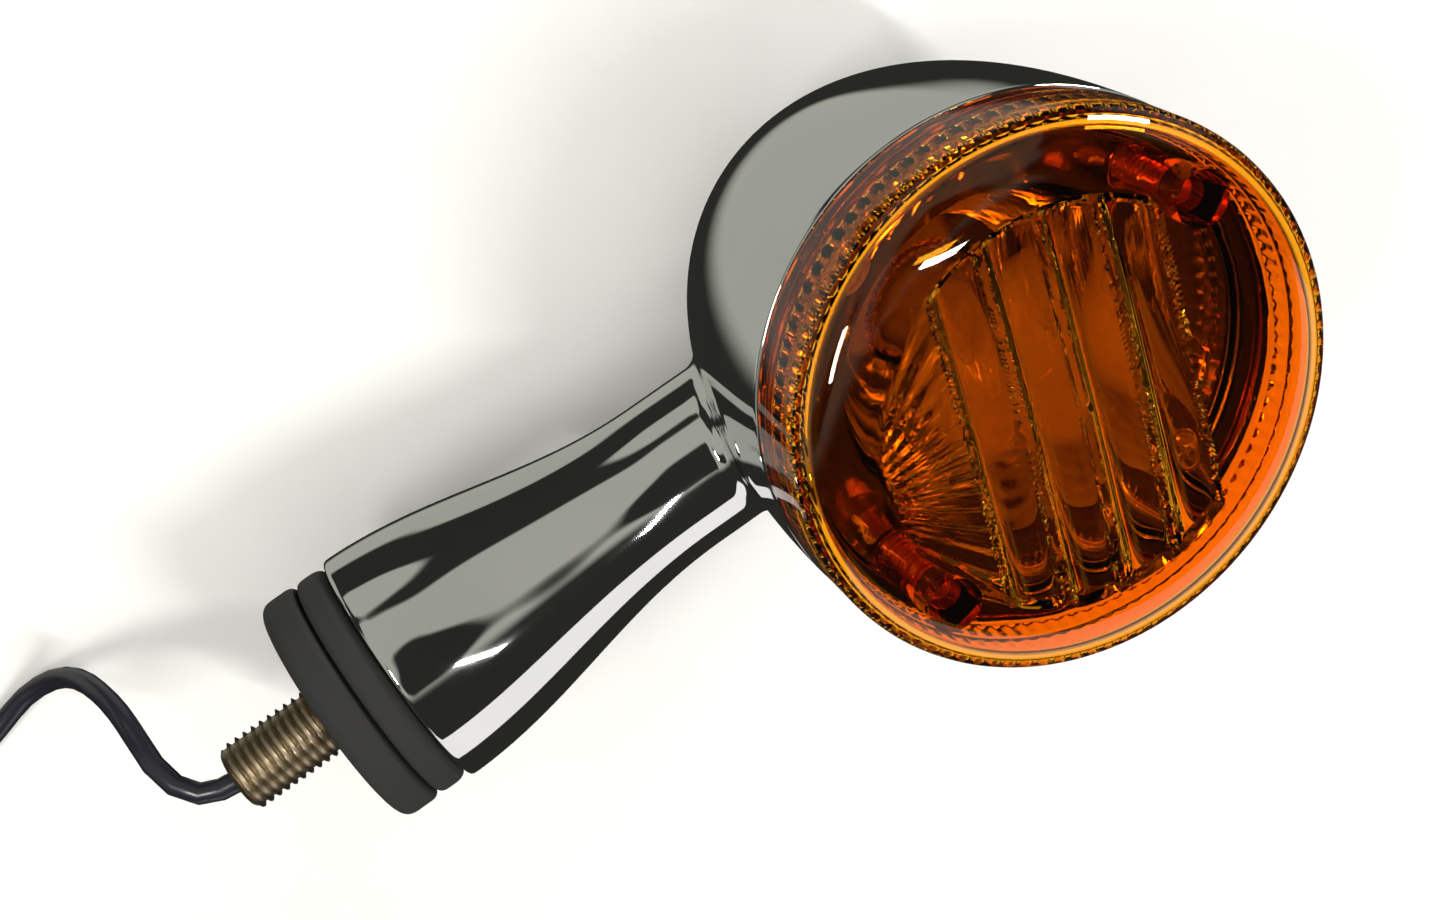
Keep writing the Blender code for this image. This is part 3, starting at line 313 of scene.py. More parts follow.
def loft(rings: Sequence[Sequence[Vector]], capped: bool = True) -> bmesh.types.BMesh:
    """Skin a row of rings that have the same count of points.

    Args:
        rings: The points of each ring, in order.
        capped: Whether both ends are closed. If not, the last ring lies on the first.

    Returns:
        The skinned shape, with its normals facing out.
    """
    shape = bmesh.new()
    loops = [[shape.verts.new(point) for point in ring] for ring in rings]
    for near, far in zip(loops, loops[1:]):
        for i in range(len(near)):
            j = (i + 1) % len(near)
            shape.faces.new((near[i], near[j], far[j], far[i]))
    if capped:
        for loop in (loops[0], loops[-1]):
            middle = shape.verts.new(sum((v.co for v in loop), Vector()) / len(loop))
            for i in range(len(loop)):
                shape.faces.new((loop[i], loop[(i + 1) % len(loop)], middle))
    else:
        bmesh.ops.remove_doubles(shape, verts=shape.verts, dist=1e-7)
    bmesh.ops.recalc_face_normals(shape, faces=shape.faces)
    return shape


def joined(shapes: Iterable[bmesh.types.BMesh]) -> bmesh.types.BMesh:
    """Put several shapes in one.

    Args:
        shapes: The shapes, which are used up.

    Returns:
        One shape with all their faces.
    """
    whole = bmesh.new()
    for shape in shapes:
        part = bpy.data.meshes.new("part")
        shape.to_mesh(part)
        shape.free()
        whole.from_mesh(part)
        bpy.data.meshes.remove(part)
    return whole


def box_shape(size: Sequence[float], centre: Sequence[float], angle: float = 0.0) -> bmesh.types.BMesh:
    """Make a box turned about an upright line through its centre.

    Args:
        size: Its length, width and height.
        centre: Where its middle is.
        angle: Degrees it is turned.

    Returns:
        The box.
    """
    shape = bmesh.new()
    bmesh.ops.create_cube(shape, size=1)
    bmesh.ops.scale(shape, verts=shape.verts, vec=size)
    bmesh.ops.rotate(shape, verts=shape.verts, cent=(0, 0, 0),
                     matrix=Matrix.Rotation(math.radians(angle), 3, "Z"))
    bmesh.ops.translate(shape, verts=shape.verts, vec=centre)
    return shape


def cut(shape: bmesh.types.BMesh, cutters: Sequence[bmesh.types.BMesh]) -> bmesh.types.BMesh:
    """Take solids away from a solid.

    Args:
        shape: The solid to cut, which is used up.
        cutters: The solids to take away, which are used up.

    Returns:
        What is left.
    """
    objects = []
    for item in [shape, *cutters]:
        mesh = bpy.data.meshes.new("cut")
        item.to_mesh(mesh)
        item.free()
        objects.append(bpy.data.objects.new("cut", mesh))
        bpy.context.scene.collection.objects.link(objects[-1])
    for cutter in objects[1:]:
        step = objects[0].modifiers.new("cut", "BOOLEAN")
        step.operation = "DIFFERENCE"
        step.solver = "EXACT"
        step.object = cutter
    bpy.context.view_layer.update()
    graph = bpy.context.evaluated_depsgraph_get()
    result = bmesh.new()
    result.from_object(objects[0], graph)
    for item in objects:
        mesh = item.data
        bpy.data.objects.remove(item)
        bpy.data.meshes.remove(mesh)
    return result


def show(name: str, shape: bmesh.types.BMesh, finish: Finish, body: Body, nodes: Sequence[str],
         sharp: float = 32.0) -> bpy.types.Object:
    """Show a finished shape as a piece of the lamp.

    Args:
        name: The piece's name.
        shape: The shape, which is used up.
        finish: Its surface.
        body: The rigid body that it rides on.
        nodes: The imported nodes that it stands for.
        sharp: The angle in degrees above which an edge stays crisp.

    Returns:
        The piece.
    """
    mesh = bpy.data.meshes.new(name)
    shape.to_mesh(mesh)
    shape.free()
    mesh.polygons.foreach_set("use_smooth", [True] * len(mesh.polygons))
    mesh.set_sharp_from_angle(angle=math.radians(sharp))
    mesh.materials.append(finish.material())
    return place_piece(bpy.data.objects.new(name, mesh), body, nodes)


def place_piece(piece: bpy.types.Object, body: Body, nodes: Sequence[str]) -> bpy.types.Object:
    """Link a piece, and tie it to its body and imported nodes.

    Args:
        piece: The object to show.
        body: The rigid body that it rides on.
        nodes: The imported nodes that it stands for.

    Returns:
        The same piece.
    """
    bpy.context.scene.collection.objects.link(piece)
    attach(piece, body.value)
    if nodes:
        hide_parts(*nodes)
    return piece


def wire(name: str, points: Sequence[Vector], radius: float, finish: Finish, body: Body,
         nodes: Sequence[str]) -> bpy.types.Object:
    """Show a round wire along a dense row of points.

    Args:
        name: The piece's name.
        points: The centreline.
        radius: The wire's radius.
        finish: Its surface.
        body: The rigid body that it rides on.
        nodes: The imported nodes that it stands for.

    Returns:
        The piece.
    """
    line = bpy.data.curves.new(name, "CURVE")
    line.dimensions = "3D"
    line.bevel_depth = radius
    line.bevel_resolution = 5
    line.use_fill_caps = True
    spline = line.splines.new("POLY")
    spline.points.add(len(points) - 1)
    for target, point in zip(spline.points, points):
        target.co = (*point, 1)
    spline.use_smooth = True
    line.materials.append(finish.material())
    return place_piece(bpy.data.objects.new(name, line), body, nodes)


def smooth_route(route: Sequence[Sequence[float]], step: float) -> list[Vector]:
    """Run a smooth curve through a route.

    Args:
        route: The points that it passes.
        step: About how far apart its points are.

    Returns:
        The points of the curve.
    """
    line = [Vector(p) for p in route]
    line = [line[0] * 2 - line[1]] + line + [line[-1] * 2 - line[-2]]
    points = []
    for a, b, c, d in zip(line, line[1:], line[2:], line[3:]):
        count = max(1, round((c - b).length / step))
        for k in range(count):
            t = k / count
            square, cube = 2 * a - 5 * b + 4 * c - d, 3 * b - a - 3 * c + d
            points.append(0.5 * (2 * b + (c - a) * t + square * t**2 + cube * t**3))
    return points + [line[-2]]


@dataclass(frozen=True)
class Thread:
    """A real helical thread on a round rod."""

    major: float
    minor: float
    pitch: float
    start: float
    end: float
    chamfer: float
    round_steps: int = 64
    per_pitch: int = 14

    def rings(self, place: Place) -> list[list[Vector]]:
        """Lay out the rod's skin.

        Args:
            place: Where the rod's axis runs.

        Returns:
            Rings of points from the rod's start to its end.
        """
        axis, side = Vector(place.axis), Vector(place.side)
        other = axis.cross(side)
        count = max(2, round((self.end - self.start) / self.pitch * self.per_pitch))
        rings = []
        for i in range(count + 1):
            along = self.start + (self.end - self.start) * i / count
            ring = []
            for k in range(self.round_steps):
                share = k / self.round_steps
                radius = self.radius(along, share)
                turned = side * math.cos(FULL_TURN * share) + other * math.sin(FULL_TURN * share)
                ring.append(Vector(place.origin) + axis * along + turned * radius)
            rings.append(ring)
        return rings

    def radius(self, along: float, share: float) -> float:
        """Find the thread's radius at one place.

        Args:
            along: Distance along the axis.
            share: The share of a turn round it.

        Returns:
            The radius there.
        """
        phase = ((along - self.start) / self.pitch - share) % 1.0
        tooth = min(max((0.5 - abs(phase - 0.5)) * 2.6 - 0.55, 0.0), 1.0)
        tooth = tooth * tooth * (3 - 2 * tooth) * 0.35 + tooth * 0.65
        height = self.major - self.minor
        near = min(along - self.start, self.end - along)
        bevelled = self.minor - self.chamfer * 0.4 + max(near, 0.0) * height * 1.6 / self.chamfer
        return min(self.minor + height * tooth, bevelled)


@dataclass(frozen=True)
class Housing:
    """The die-cast bowl and stalk, plated bright."""

    lip: float = 29.6 * MM
    lip_band: float = 1.0 * MM
    bowl_radius: float = 34.9 * MM
    depth: float = 68.0 * MM
    roundness: float = 2.2
    wall: float = 2.2 * MM
    lip_wall: float = 1.3 * MM
    ledge: float = 2.6 * MM
    ledge_drop: float = 2.2 * MM
    ledge_skirt: float = 3.2 * MM
    skirt_end: float = 5.0 * MM
    seat: float = 10.1 * MM
    bell_radius: float = 17.0 * MM
    bell_length: float = 44.0 * MM
    tube_radius: float = 10.75 * MM
    bore: float = 5.9 * MM
    blend: float = 2.4 * MM
    seat_edge: float = 0.7 * MM
    tuck_in: float = 0.25 * MM
    tuck_out: float = 0.3 * MM
    stalk_end: float = 66.2 * MM
    hole_circle: float = 27.3 * MM
    hole_angles: Point = (28.0, 208.0)
    head_hole: float = 3.4 * MM
    shank_hole: float = 2.05 * MM
    head_seat: float = 10.2 * MM
    hole_top: float = 26.0 * MM
    hole_bottom: float = -42.0 * MM
    column_radius: float = 4.3 * MM
    column_top: float = 25.2 * MM
    column_bottom: float = -17.0 * MM
    column_sink: float = 0.5 * MM
    steps: int = 192
    stalk_steps: int = 128
    stalk_points: int = 41
    blend_points: int = 12

    def bowl_at(self, height: float, radius: float, depth: float) -> float:
        """Find the bowl's radius at a height.

        Args:
            height: The height.
            radius: The bowl's widest radius.
            depth: The bowl's depth.

        Returns:
            The radius at that height.
        """
        drop = (self.lip - self.lip_band - height) / depth
        if drop <= 0:
            return radius
        return radius * max(1 - drop**self.roundness, 0.0) ** (1 / self.roundness)

    def side(self, radius: float, depth: float, count: int) -> list[Point]:
        """Lay out a profile down the bowl.

        Args:
            radius: The widest radius.
            depth: The depth.
            count: How many steps the profile has.

        Returns:
            Points from the bowl's widest place to its axis.
        """
        power = 2 / self.roundness
        top = self.lip - self.lip_band
        points = []
        for i in range(count):
            angle = math.pi / 2 * i / count
            points.append((radius * math.cos(angle) ** power, top - depth * math.sin(angle) ** power))
        return points + [(0.0, top - depth)]

    def bowl(self) -> bmesh.types.BMesh:
        """Turn the bowl, and cut the two holes that the lens screws go in by.

        Returns:
            The bowl's shape.
        """
        inner_lip = self.bowl_radius - self.lip_wall
        ledge_top = self.lip - self.ledge_drop
        lip = rounded([(inner_lip - self.ledge, ledge_top - self.ledge_skirt, 0),
                       (inner_lip - self.ledge, ledge_top, 0.2 * MM),
                       (inner_lip, ledge_top, 0.1 * MM), (inner_lip, self.lip, 0.25 * MM),
                       (self.bowl_radius, self.lip, 0.4 * MM),
                       (self.bowl_radius, self.lip - self.lip_band, 0)])
        inside = [p for p in self.side(self.bowl_radius - self.wall, self.depth - self.wall, 60)
                  if p[1] < ledge_top - self.skirt_end]
        profile = list(reversed(inside)) + lip + self.side(self.bowl_radius, self.depth, 90)[1:]
        cutters = []
        for angle in self.hole_angles:
            hole = [(0.0, self.hole_top), (self.shank_hole, self.hole_top), (self.shank_hole, self.head_seat),
                    (self.head_hole, self.head_seat), (self.head_hole, self.hole_bottom),
                    (0.0, self.hole_bottom)]
            cutters.append(turn(hole, Place((*on_circle(self.hole_circle, angle), 0.0)), 48))
        return cut(turn(profile, BOWL_AXIS, self.steps), cutters)

    def columns(self) -> list[bmesh.types.BMesh]:
        """Make the tubes that stand in the bowl over the two screw holes.

        Returns:
            One shape for each tube.
        """
        made = []
        for angle in self.hole_angles:
            place = Place((*on_circle(self.hole_circle, angle), 0.0))
            low = self.column_bottom
            profile = [(self.shank_hole, self.column_top), (self.column_radius, self.column_top),
                       (self.column_radius, low), (self.head_hole, low), (self.head_hole, self.head_seat),
                       (self.shank_hole, self.head_seat)]
            shape = turn(profile, place, 48, closed=True)
            for vert in shape.verts:
                if vert.co.z < low + MM:
                    away = math.hypot(vert.co.x - BOWL_X, vert.co.y)
                    vert.co.z = self.height_at(away) + self.column_sink
            made.append(shape)
        return made

    def height_at(self, away: float) -> float:
        """Find the height of the bowl's outer face at a distance from its axis."""
        share = max(1 - min(away / self.bowl_radius, 1.0) ** self.roundness, 0.0)
        return self.lip - self.lip_band - self.depth * share ** (1 / self.roundness)

    def surface(self, y: float, z: float) -> float:
        """Find the x of the bowl's face towards the bracket, beside and above the stalk's axis."""
        radius = self.bowl_at(z, self.bowl_radius, self.depth)
        return BOWL_X - math.sqrt(max(radius * radius - y * y, 0.0))

    def bell(self, x: float) -> float:
        """Find the stalk's radius at a distance from the bracket."""
        share = min(max((x - self.seat) / self.bell_length, 0), 1)
        return self.tube_radius + (self.bell_radius - self.tube_radius) * (1 + math.cos(math.pi * share)) / 2

    def stalk_line(self, angle: float) -> list[Vector]:
        """Lay out one line of the stalk's skin, from its seat to where it melts into the bowl.

        Args:
            angle: Radians round the stalk.

        Returns:
            The points of the line.
        """
        out = Vector((0, math.sin(angle), math.cos(angle)))
        begin = self.seat + 3 * self.seat_edge
        flat = rounded([(self.seat, self.bore, 0), (self.seat, self.bell_radius, self.seat_edge),
                        (begin, self.bell(begin), 0)])
        line = [Vector((x, 0, 0)) + out * r for x, r in flat]
        radius = self.tube_radius
        meet = out * radius
        x0 = self.surface(meet.y, meet.z)
        normal = self.normal(meet.y, meet.z)
        flat_normal = Vector((normal.x, normal.dot(out))).normalized()
        centre = Vector((x0, radius)) + Vector((self.blend * (1 - flat_normal.y) / flat_normal.x, self.blend))
        for i in range(1, self.stalk_points):
            x = begin + (centre.x - begin) * i / self.stalk_points
            line.append(Vector((x, 0, 0)) + out * self.bell(x))
        start = math.atan2(-1.0, 0.0)
        end = math.atan2(-flat_normal.y, -flat_normal.x)
        for i in range(self.blend_points + 1):
            turned = start + (end - start) * i / self.blend_points
            spot = centre + Vector((math.cos(turned), math.sin(turned))) * self.blend
            point = out * spot.y
            face = self.surface(point.y, point.z)
            share = smoothstep(0.35, 1.0, i / self.blend_points)
            line.append(Vector((spot.x * (1 - share) + face * share, 0, 0)) + point)
        last = line[-1] - normal * self.tuck_in + out * self.tuck_out
        return line + [last, Vector((self.stalk_end, 0, 0)) + out * radius * 0.5]

    def normal(self, y: float, z: float) -> Vector:
        """Find the bowl's outward normal at a point of its near face.

        Args:
            y: Distance to the side of the stalk's axis.
            z: Height above the stalk's axis.

        Returns:
            The unit normal.
        """
        step = 0.05 * MM
        slope_y = (self.surface(y + step, z) - self.surface(y - step, z)) / (2 * step)
        slope_z = (self.surface(y, z + step) - self.surface(y, z - step)) / (2 * step)
        return Vector((-1.0, slope_y, slope_z)).normalized()

    def build(self) -> bpy.types.Object:
        """Build and dress the housing.

        Returns:
            The housing's piece.
        """
        lines = [self.stalk_line(FULL_TURN * k / self.stalk_steps) for k in range(self.stalk_steps)]
        rings = [[line[i] for line in lines] for i in range(len(lines[0]))]
        whole = joined([self.bowl(), loft(rings), *self.columns()])
        return show("chrome_housing", whole, CHROME, Body.LAMP, ["housing"], sharp=40)


@dataclass(frozen=True)
class Lens:
    """The moulded amber lens: smooth outside, with flutes and teeth on its inner face."""

    rim: float = 29.9 * MM
    outer: float = 34.8 * MM
    wall: float = 2.4 * MM
    shoulder: float = 40.0 * MM
    face: float = 45.6 * MM
    face_radius: float = 25.8 * MM
    dome: float = 1.2 * MM
    tongue: float = 33.3 * MM
    tongue_end: float = 28.6 * MM
    teeth: int = 96
    tooth_depth: float = 0.55 * MM
    flute: float = 7.4 * MM
    flute_count: int = 4
    flute_depth: float = 1.9 * MM
    bar: float = 0.9 * MM
    flute_angle: float = -12.3
    wall_heights: Sequence[float] = (
        31.0 * MM, 31.6 * MM, 32.2 * MM, 32.8 * MM, 33.2 * MM, 33.5 * MM, 34.3 * MM, 35.2 * MM, 36.0 * MM,
        36.3 * MM, 36.6 * MM, 37.0 * MM, 37.3 * MM, 38.2 * MM, 39.1 * MM, 39.4 * MM, 39.8 * MM,
    )
    low_teeth: Point = (33.3 * MM, 36.2 * MM)
    high_teeth: Point = (37.1 * MM, 39.3 * MM)
    lines: Point = (31.6 * MM, 32.8 * MM)
    line_depth: float = 0.18 * MM
    bar_depth: float = 0.55 * MM
    fan_depth: float = 0.12 * MM
    fan_centre: float = 16.0 * MM
    fan_rays: int = 44
    boss_radius: float = 3.4 * MM
    boss_bore: float = 2.05 * MM
    boss_bottom: float = 26.7 * MM
    boss_top: float = 42.3 * MM
    bore_top: float = 37.0 * MM
    relief_top: float = 44.9 * MM
    dome_points: int = 60
    steps: int = 480

    def outside(self) -> list[Point]:
        """Lay out the smooth outer face.

        Returns:
            Points from the crown to the tongue's end.
        """
        crown = self.face + self.dome
        points = [(self.face_radius * i / 14, crown - self.dome * (i / 14) ** 2) for i in range(14)]
        for i in range(15):
            turned = math.pi / 2 * (1 - i / 14)
            points.append((self.face_radius + (self.outer - self.face_radius) * math.cos(turned),
                           self.shoulder + (self.face - self.shoulder) * math.sin(turned)))
        rim = rounded([(self.outer, self.shoulder - 2 * MM, 0), (self.outer, self.rim, 0.35 * MM),
                       (self.tongue, self.rim, 0.1 * MM), (self.tongue, self.tongue_end, 0.15 * MM),
                       (self.outer - self.wall, self.tongue_end, 0.15 * MM),
                       (self.outer - self.wall, self.tongue_end + 2 * MM, 0)], count=4)
        return points + rim

    def inside(self) -> list[Point]:
        """Lay out the inner face before its relief.

        Returns:
            Points from above the tongue to the middle.
        """
        wall = self.outer - self.wall
        points = [(wall, height) for height in self.wall_heights]
        for i in range(1, 9):
            turned = math.pi / 2 * i / 9
            points.append((self.face_radius + (wall - self.face_radius) * math.cos(turned),
                           self.shoulder + (self.face - self.wall - self.shoulder) * math.sin(turned)))
        low, crown = self.face - self.wall, self.face + self.dome - self.wall
        for i in range(self.dome_points):
            radius = self.face_radius * (1 - i / self.dome_points)
            points.append((radius, low + (crown - low) * (1 - (radius / self.face_radius) ** 2)))
        return points + [(0.0, crown)]

    def relief(self, place: Vector) -> Vector:
        """Move one point of the inner face to make teeth, lines and flutes.

        Args:
            place: The point before the relief.

        Returns:
            The point after it.
        """
        x, y, z = place.x - BOWL_X, place.y, place.z
        radius = math.hypot(x, y)
        if radius < 1e-6:
            return self.fluted(place, 0.0, 0.0, radius)
        if abs(radius - (self.outer - self.wall)) < 0.02 * MM:
            share = self.teeth * math.atan2(y, x) / FULL_TURN
            tooth = abs((share % 1.0) * 2 - 1)
            depth = 0.0
            if self.low_teeth[0] < z < self.low_teeth[1]:
                depth = self.tooth_depth * tooth
            elif self.high_teeth[0] < z < self.high_teeth[1]:
                depth = self.tooth_depth * 0.9 * (0.35 + 0.65 * (1 - tooth))
            elif any(abs(z - line) < 0.1 * MM for line in self.lines):
                depth = self.line_depth
            scale = (radius + depth) / radius
            return Vector((BOWL_X + x * scale, y * scale, z))
        if z > self.face - self.wall - 0.05 * MM and radius <= self.face_radius + 0.01 * MM:
            turned = math.radians(self.flute_angle)
            across = x * math.cos(turned) + y * math.sin(turned)
            along = -x * math.sin(turned) + y * math.cos(turned)
            return self.fluted(place, across, along, radius)
        return place

    def fluted(self, place: Vector, across: float, along: float, radius: float) -> Vector:
        """Lower one point of the inner face into a flute, a bar or a plain end.

        Args:
            place: The point before the relief.
            across: Its distance across the flutes from the middle.
            along: Its distance along them.
            radius: Its distance from the lens's axis.

        Returns:
            The point after the relief.
        """
        fade = 1 - smoothstep(self.face_radius - 1.6 * MM, self.face_radius - 0.3 * MM, radius)
        half = self.flute * self.flute_count / 2
        drop = 0.0
        if abs(across) < half:
            share = ((across + half) / self.flute) % 1.0
            from_bar = min(share, 1 - share) * self.flute
            if from_bar < self.bar / 2:
                drop = self.bar_depth
            else:
                spread = (from_bar - self.bar / 2) / ((self.flute - self.bar) / 2)
                drop = self.flute_depth * math.sqrt(max(1 - (1 - spread) ** 2, 0.0))
        elif across < -half:
            fan = math.atan2(along, across + half + self.fan_centre)
            drop = self.fan_depth * (1 + math.cos(fan * self.fan_rays))
        return Vector((place.x, place.y, place.z - drop * fade))

    def bosses(self) -> list[bmesh.types.BMesh]:
        """Make the two hollow bosses that the lens screws bite into.

        Returns:
            One shape for each boss.
        """
        made = []
        for angle in Housing.hole_angles:
            profile = rounded([(0.0, self.bore_top, 0), (self.boss_bore, self.bore_top, 0),
                               (self.boss_bore, self.boss_bottom, 0.1 * MM),
                               (self.boss_radius, self.boss_bottom, 0.2 * MM),
                               (self.boss_radius, self.boss_top, 0), (0.0, self.boss_top, 0)])
            made.append(turn(profile, Place((*on_circle(Housing.hole_circle, angle), 0.0)), 40))
        return made

    def build(self) -> bpy.types.Object:
        """Build and dress the lens.

        Returns:
            The lens's piece.
        """
        shape = turn(self.outside() + self.inside(), BOWL_AXIS, self.steps)
        for vert in shape.verts:
            if vert.co.z < self.relief_top:
                vert.co = self.relief(vert.co)
        whole = joined([shape, *self.bosses()])
        return show("amber_lens", whole, AMBER, Body.LENS, ["lens"], sharp=28)


@dataclass(frozen=True)
class Screw:
    """A pan-head screw with a cross recess and a real thread. Its head's underside is at its place."""

    shank: float
    head: float
    head_height: float
    length: float
    place: Place

    def build(self, name: str, node: str) -> bpy.types.Object:
        """Build and dress the screw.

        Args:
            name: The piece's name.
            node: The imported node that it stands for.

        Returns:
            The screw's piece.
        """
        top = self.head_height
        profile = rounded([(0.0, top, 0), (self.head * 0.72, top, 0.9 * MM),
                           (self.head, top * 0.45, 0.6 * MM), (self.head, 0.0, 0.15 * MM), (0.0, 0.0, 0)])
        head = turn(profile, self.place, 48)
        recess = []
        for angle in (45, 135):
            middle = self.place.point(0, top - 0.35 * MM)
            recess.append(box_shape((self.head * 1.15, 0.75 * MM, 1.5 * MM), middle, angle))
        thread = Thread(self.shank, self.shank * 0.78, self.shank * 0.62, -self.length, 0.1 * MM, 0.8 * MM,
                        36, 8)
        whole = joined([cut(head, recess), loft(thread.rings(self.place))])
        return show(name, whole, STEEL, Body.LAMP, [node])


@dataclass(frozen=True)
class Reflector:
    """The spun dish behind the lens, with its screws and rivets."""

    mouth: float = 22.1 * MM
    throat: float = 12.6 * MM
    hole: float = 9.1 * MM
    flange_top: float = 26.4 * MM
    throat_top: float = 3.8 * MM
    edge: float = 30.5 * MM
    thickness: float = 0.9 * MM
    ring_depth: float = 0.05 * MM
    ring_pitch: float = 1.19 * MM
    outer_shift: float = 0.72 * MM
    points: int = 96
    screw_angles: Point = (118.0, 298.0)
    rivet_angles: Point = (97.0, 277.0)
    rivet_circle: float = 10.7 * MM
    rivet_shank: float = 0.7 * MM
    rivet_head: float = 1.3 * MM
    rivet_low: float = 1.5 * MM

    def height(self, radius: float) -> float:
        """Find the dish's inner face.

        Args:
            radius: Distance from the axis.

        Returns:
            The height there.
        """
        rise = (self.flange_top - self.throat_top) / (self.mouth**2 - self.throat**2)
        wave = self.ring_depth * math.cos(FULL_TURN * (radius - self.throat) / self.ring_pitch)
        return self.throat_top + rise * (radius**2 - self.throat**2) + wave - self.ring_depth

    def build(self) -> list[bpy.types.Object]:
        """Build and dress the dish and what holds it.

        Returns:
            The dish, its screws and the socket's rivets.
        """
        reach = self.mouth - self.throat
        radii = [self.throat + reach * i / self.points for i in range(self.points + 1)]
        inner = [(self.hole, self.throat_top)] + [(r, self.height(r)) for r in radii]
        rim = rounded([(self.mouth + 0.4 * MM, self.flange_top, 0), (self.edge, self.flange_top, 0.3 * MM),
                       (self.edge, self.flange_top - self.thickness, 0.3 * MM),
                       (self.mouth + 1.2 * MM, self.flange_top - self.thickness, 0)])
        outer = [(r + self.outer_shift, self.height(r) - self.thickness) for r in reversed(radii)]
        profile = inner + rim + outer + [(self.hole, self.throat_top - self.thickness)]
        dish = show("spun_reflector", turn(profile, BOWL_AXIS, 160, closed=True), BRIGHT_DISH,
                    Body.LAMP, ["reflector"])
        made = [dish]
        for i, angle in enumerate(self.screw_angles):
            place = Place((*on_circle(Housing.hole_circle, angle), self.flange_top + 0.05 * MM))
            screw = Screw(1.4 * MM, 2.7 * MM, 1.6 * MM, 9.0 * MM, place)
            made.append(screw.build(f"reflector_pan_screw_{i + 1}", f"reflector_screw_{i + 1}"))
        for i, angle in enumerate(self.rivet_angles):
            place = Place((*on_circle(self.rivet_circle, angle), 0.0))
            top, low = self.throat_top + 0.05 * MM, self.rivet_low
            profile = rounded([(0.0, top + 0.6 * MM, 0), (1.25 * MM, top + 0.6 * MM, 0.6 * MM),
                               (self.rivet_head, top, 0), (self.rivet_shank, top, 0),
                               (self.rivet_shank, low, 0), (self.rivet_head, low, 0.2 * MM),
                               (1.0 * MM, low - 0.6 * MM, 0.2 * MM), (0.0, low - 0.6 * MM, 0)])
            made.append(show(f"socket_rivet_head_{i + 1}", turn(profile, place, 32), BRASS,
                             Body.LAMP, [f"socket_rivet_{i + 1}"]))
        return made


@dataclass(frozen=True)
class LensScrews:
    """The two long screws that hold the lens from behind."""

    seat: float = 9.9 * MM
    tip: float = 35.9 * MM

    def build(self) -> list[bpy.types.Object]:
        """Build and dress both screws.

        Returns:
            The two pieces.
        """
        made = []
        for i, angle in enumerate(Housing.hole_angles):
            x, y = on_circle(Housing.hole_circle, angle)
            place = Place((x, y, self.seat), axis=(0.0, 0.0, -1.0))
            screw = Screw(1.75 * MM, 3.05 * MM, 2.2 * MM, self.tip - self.seat, place)
            made.append(screw.build(f"lens_pan_screw_{i + 1}", f"lens_screw_{i + 1}"))
        return made


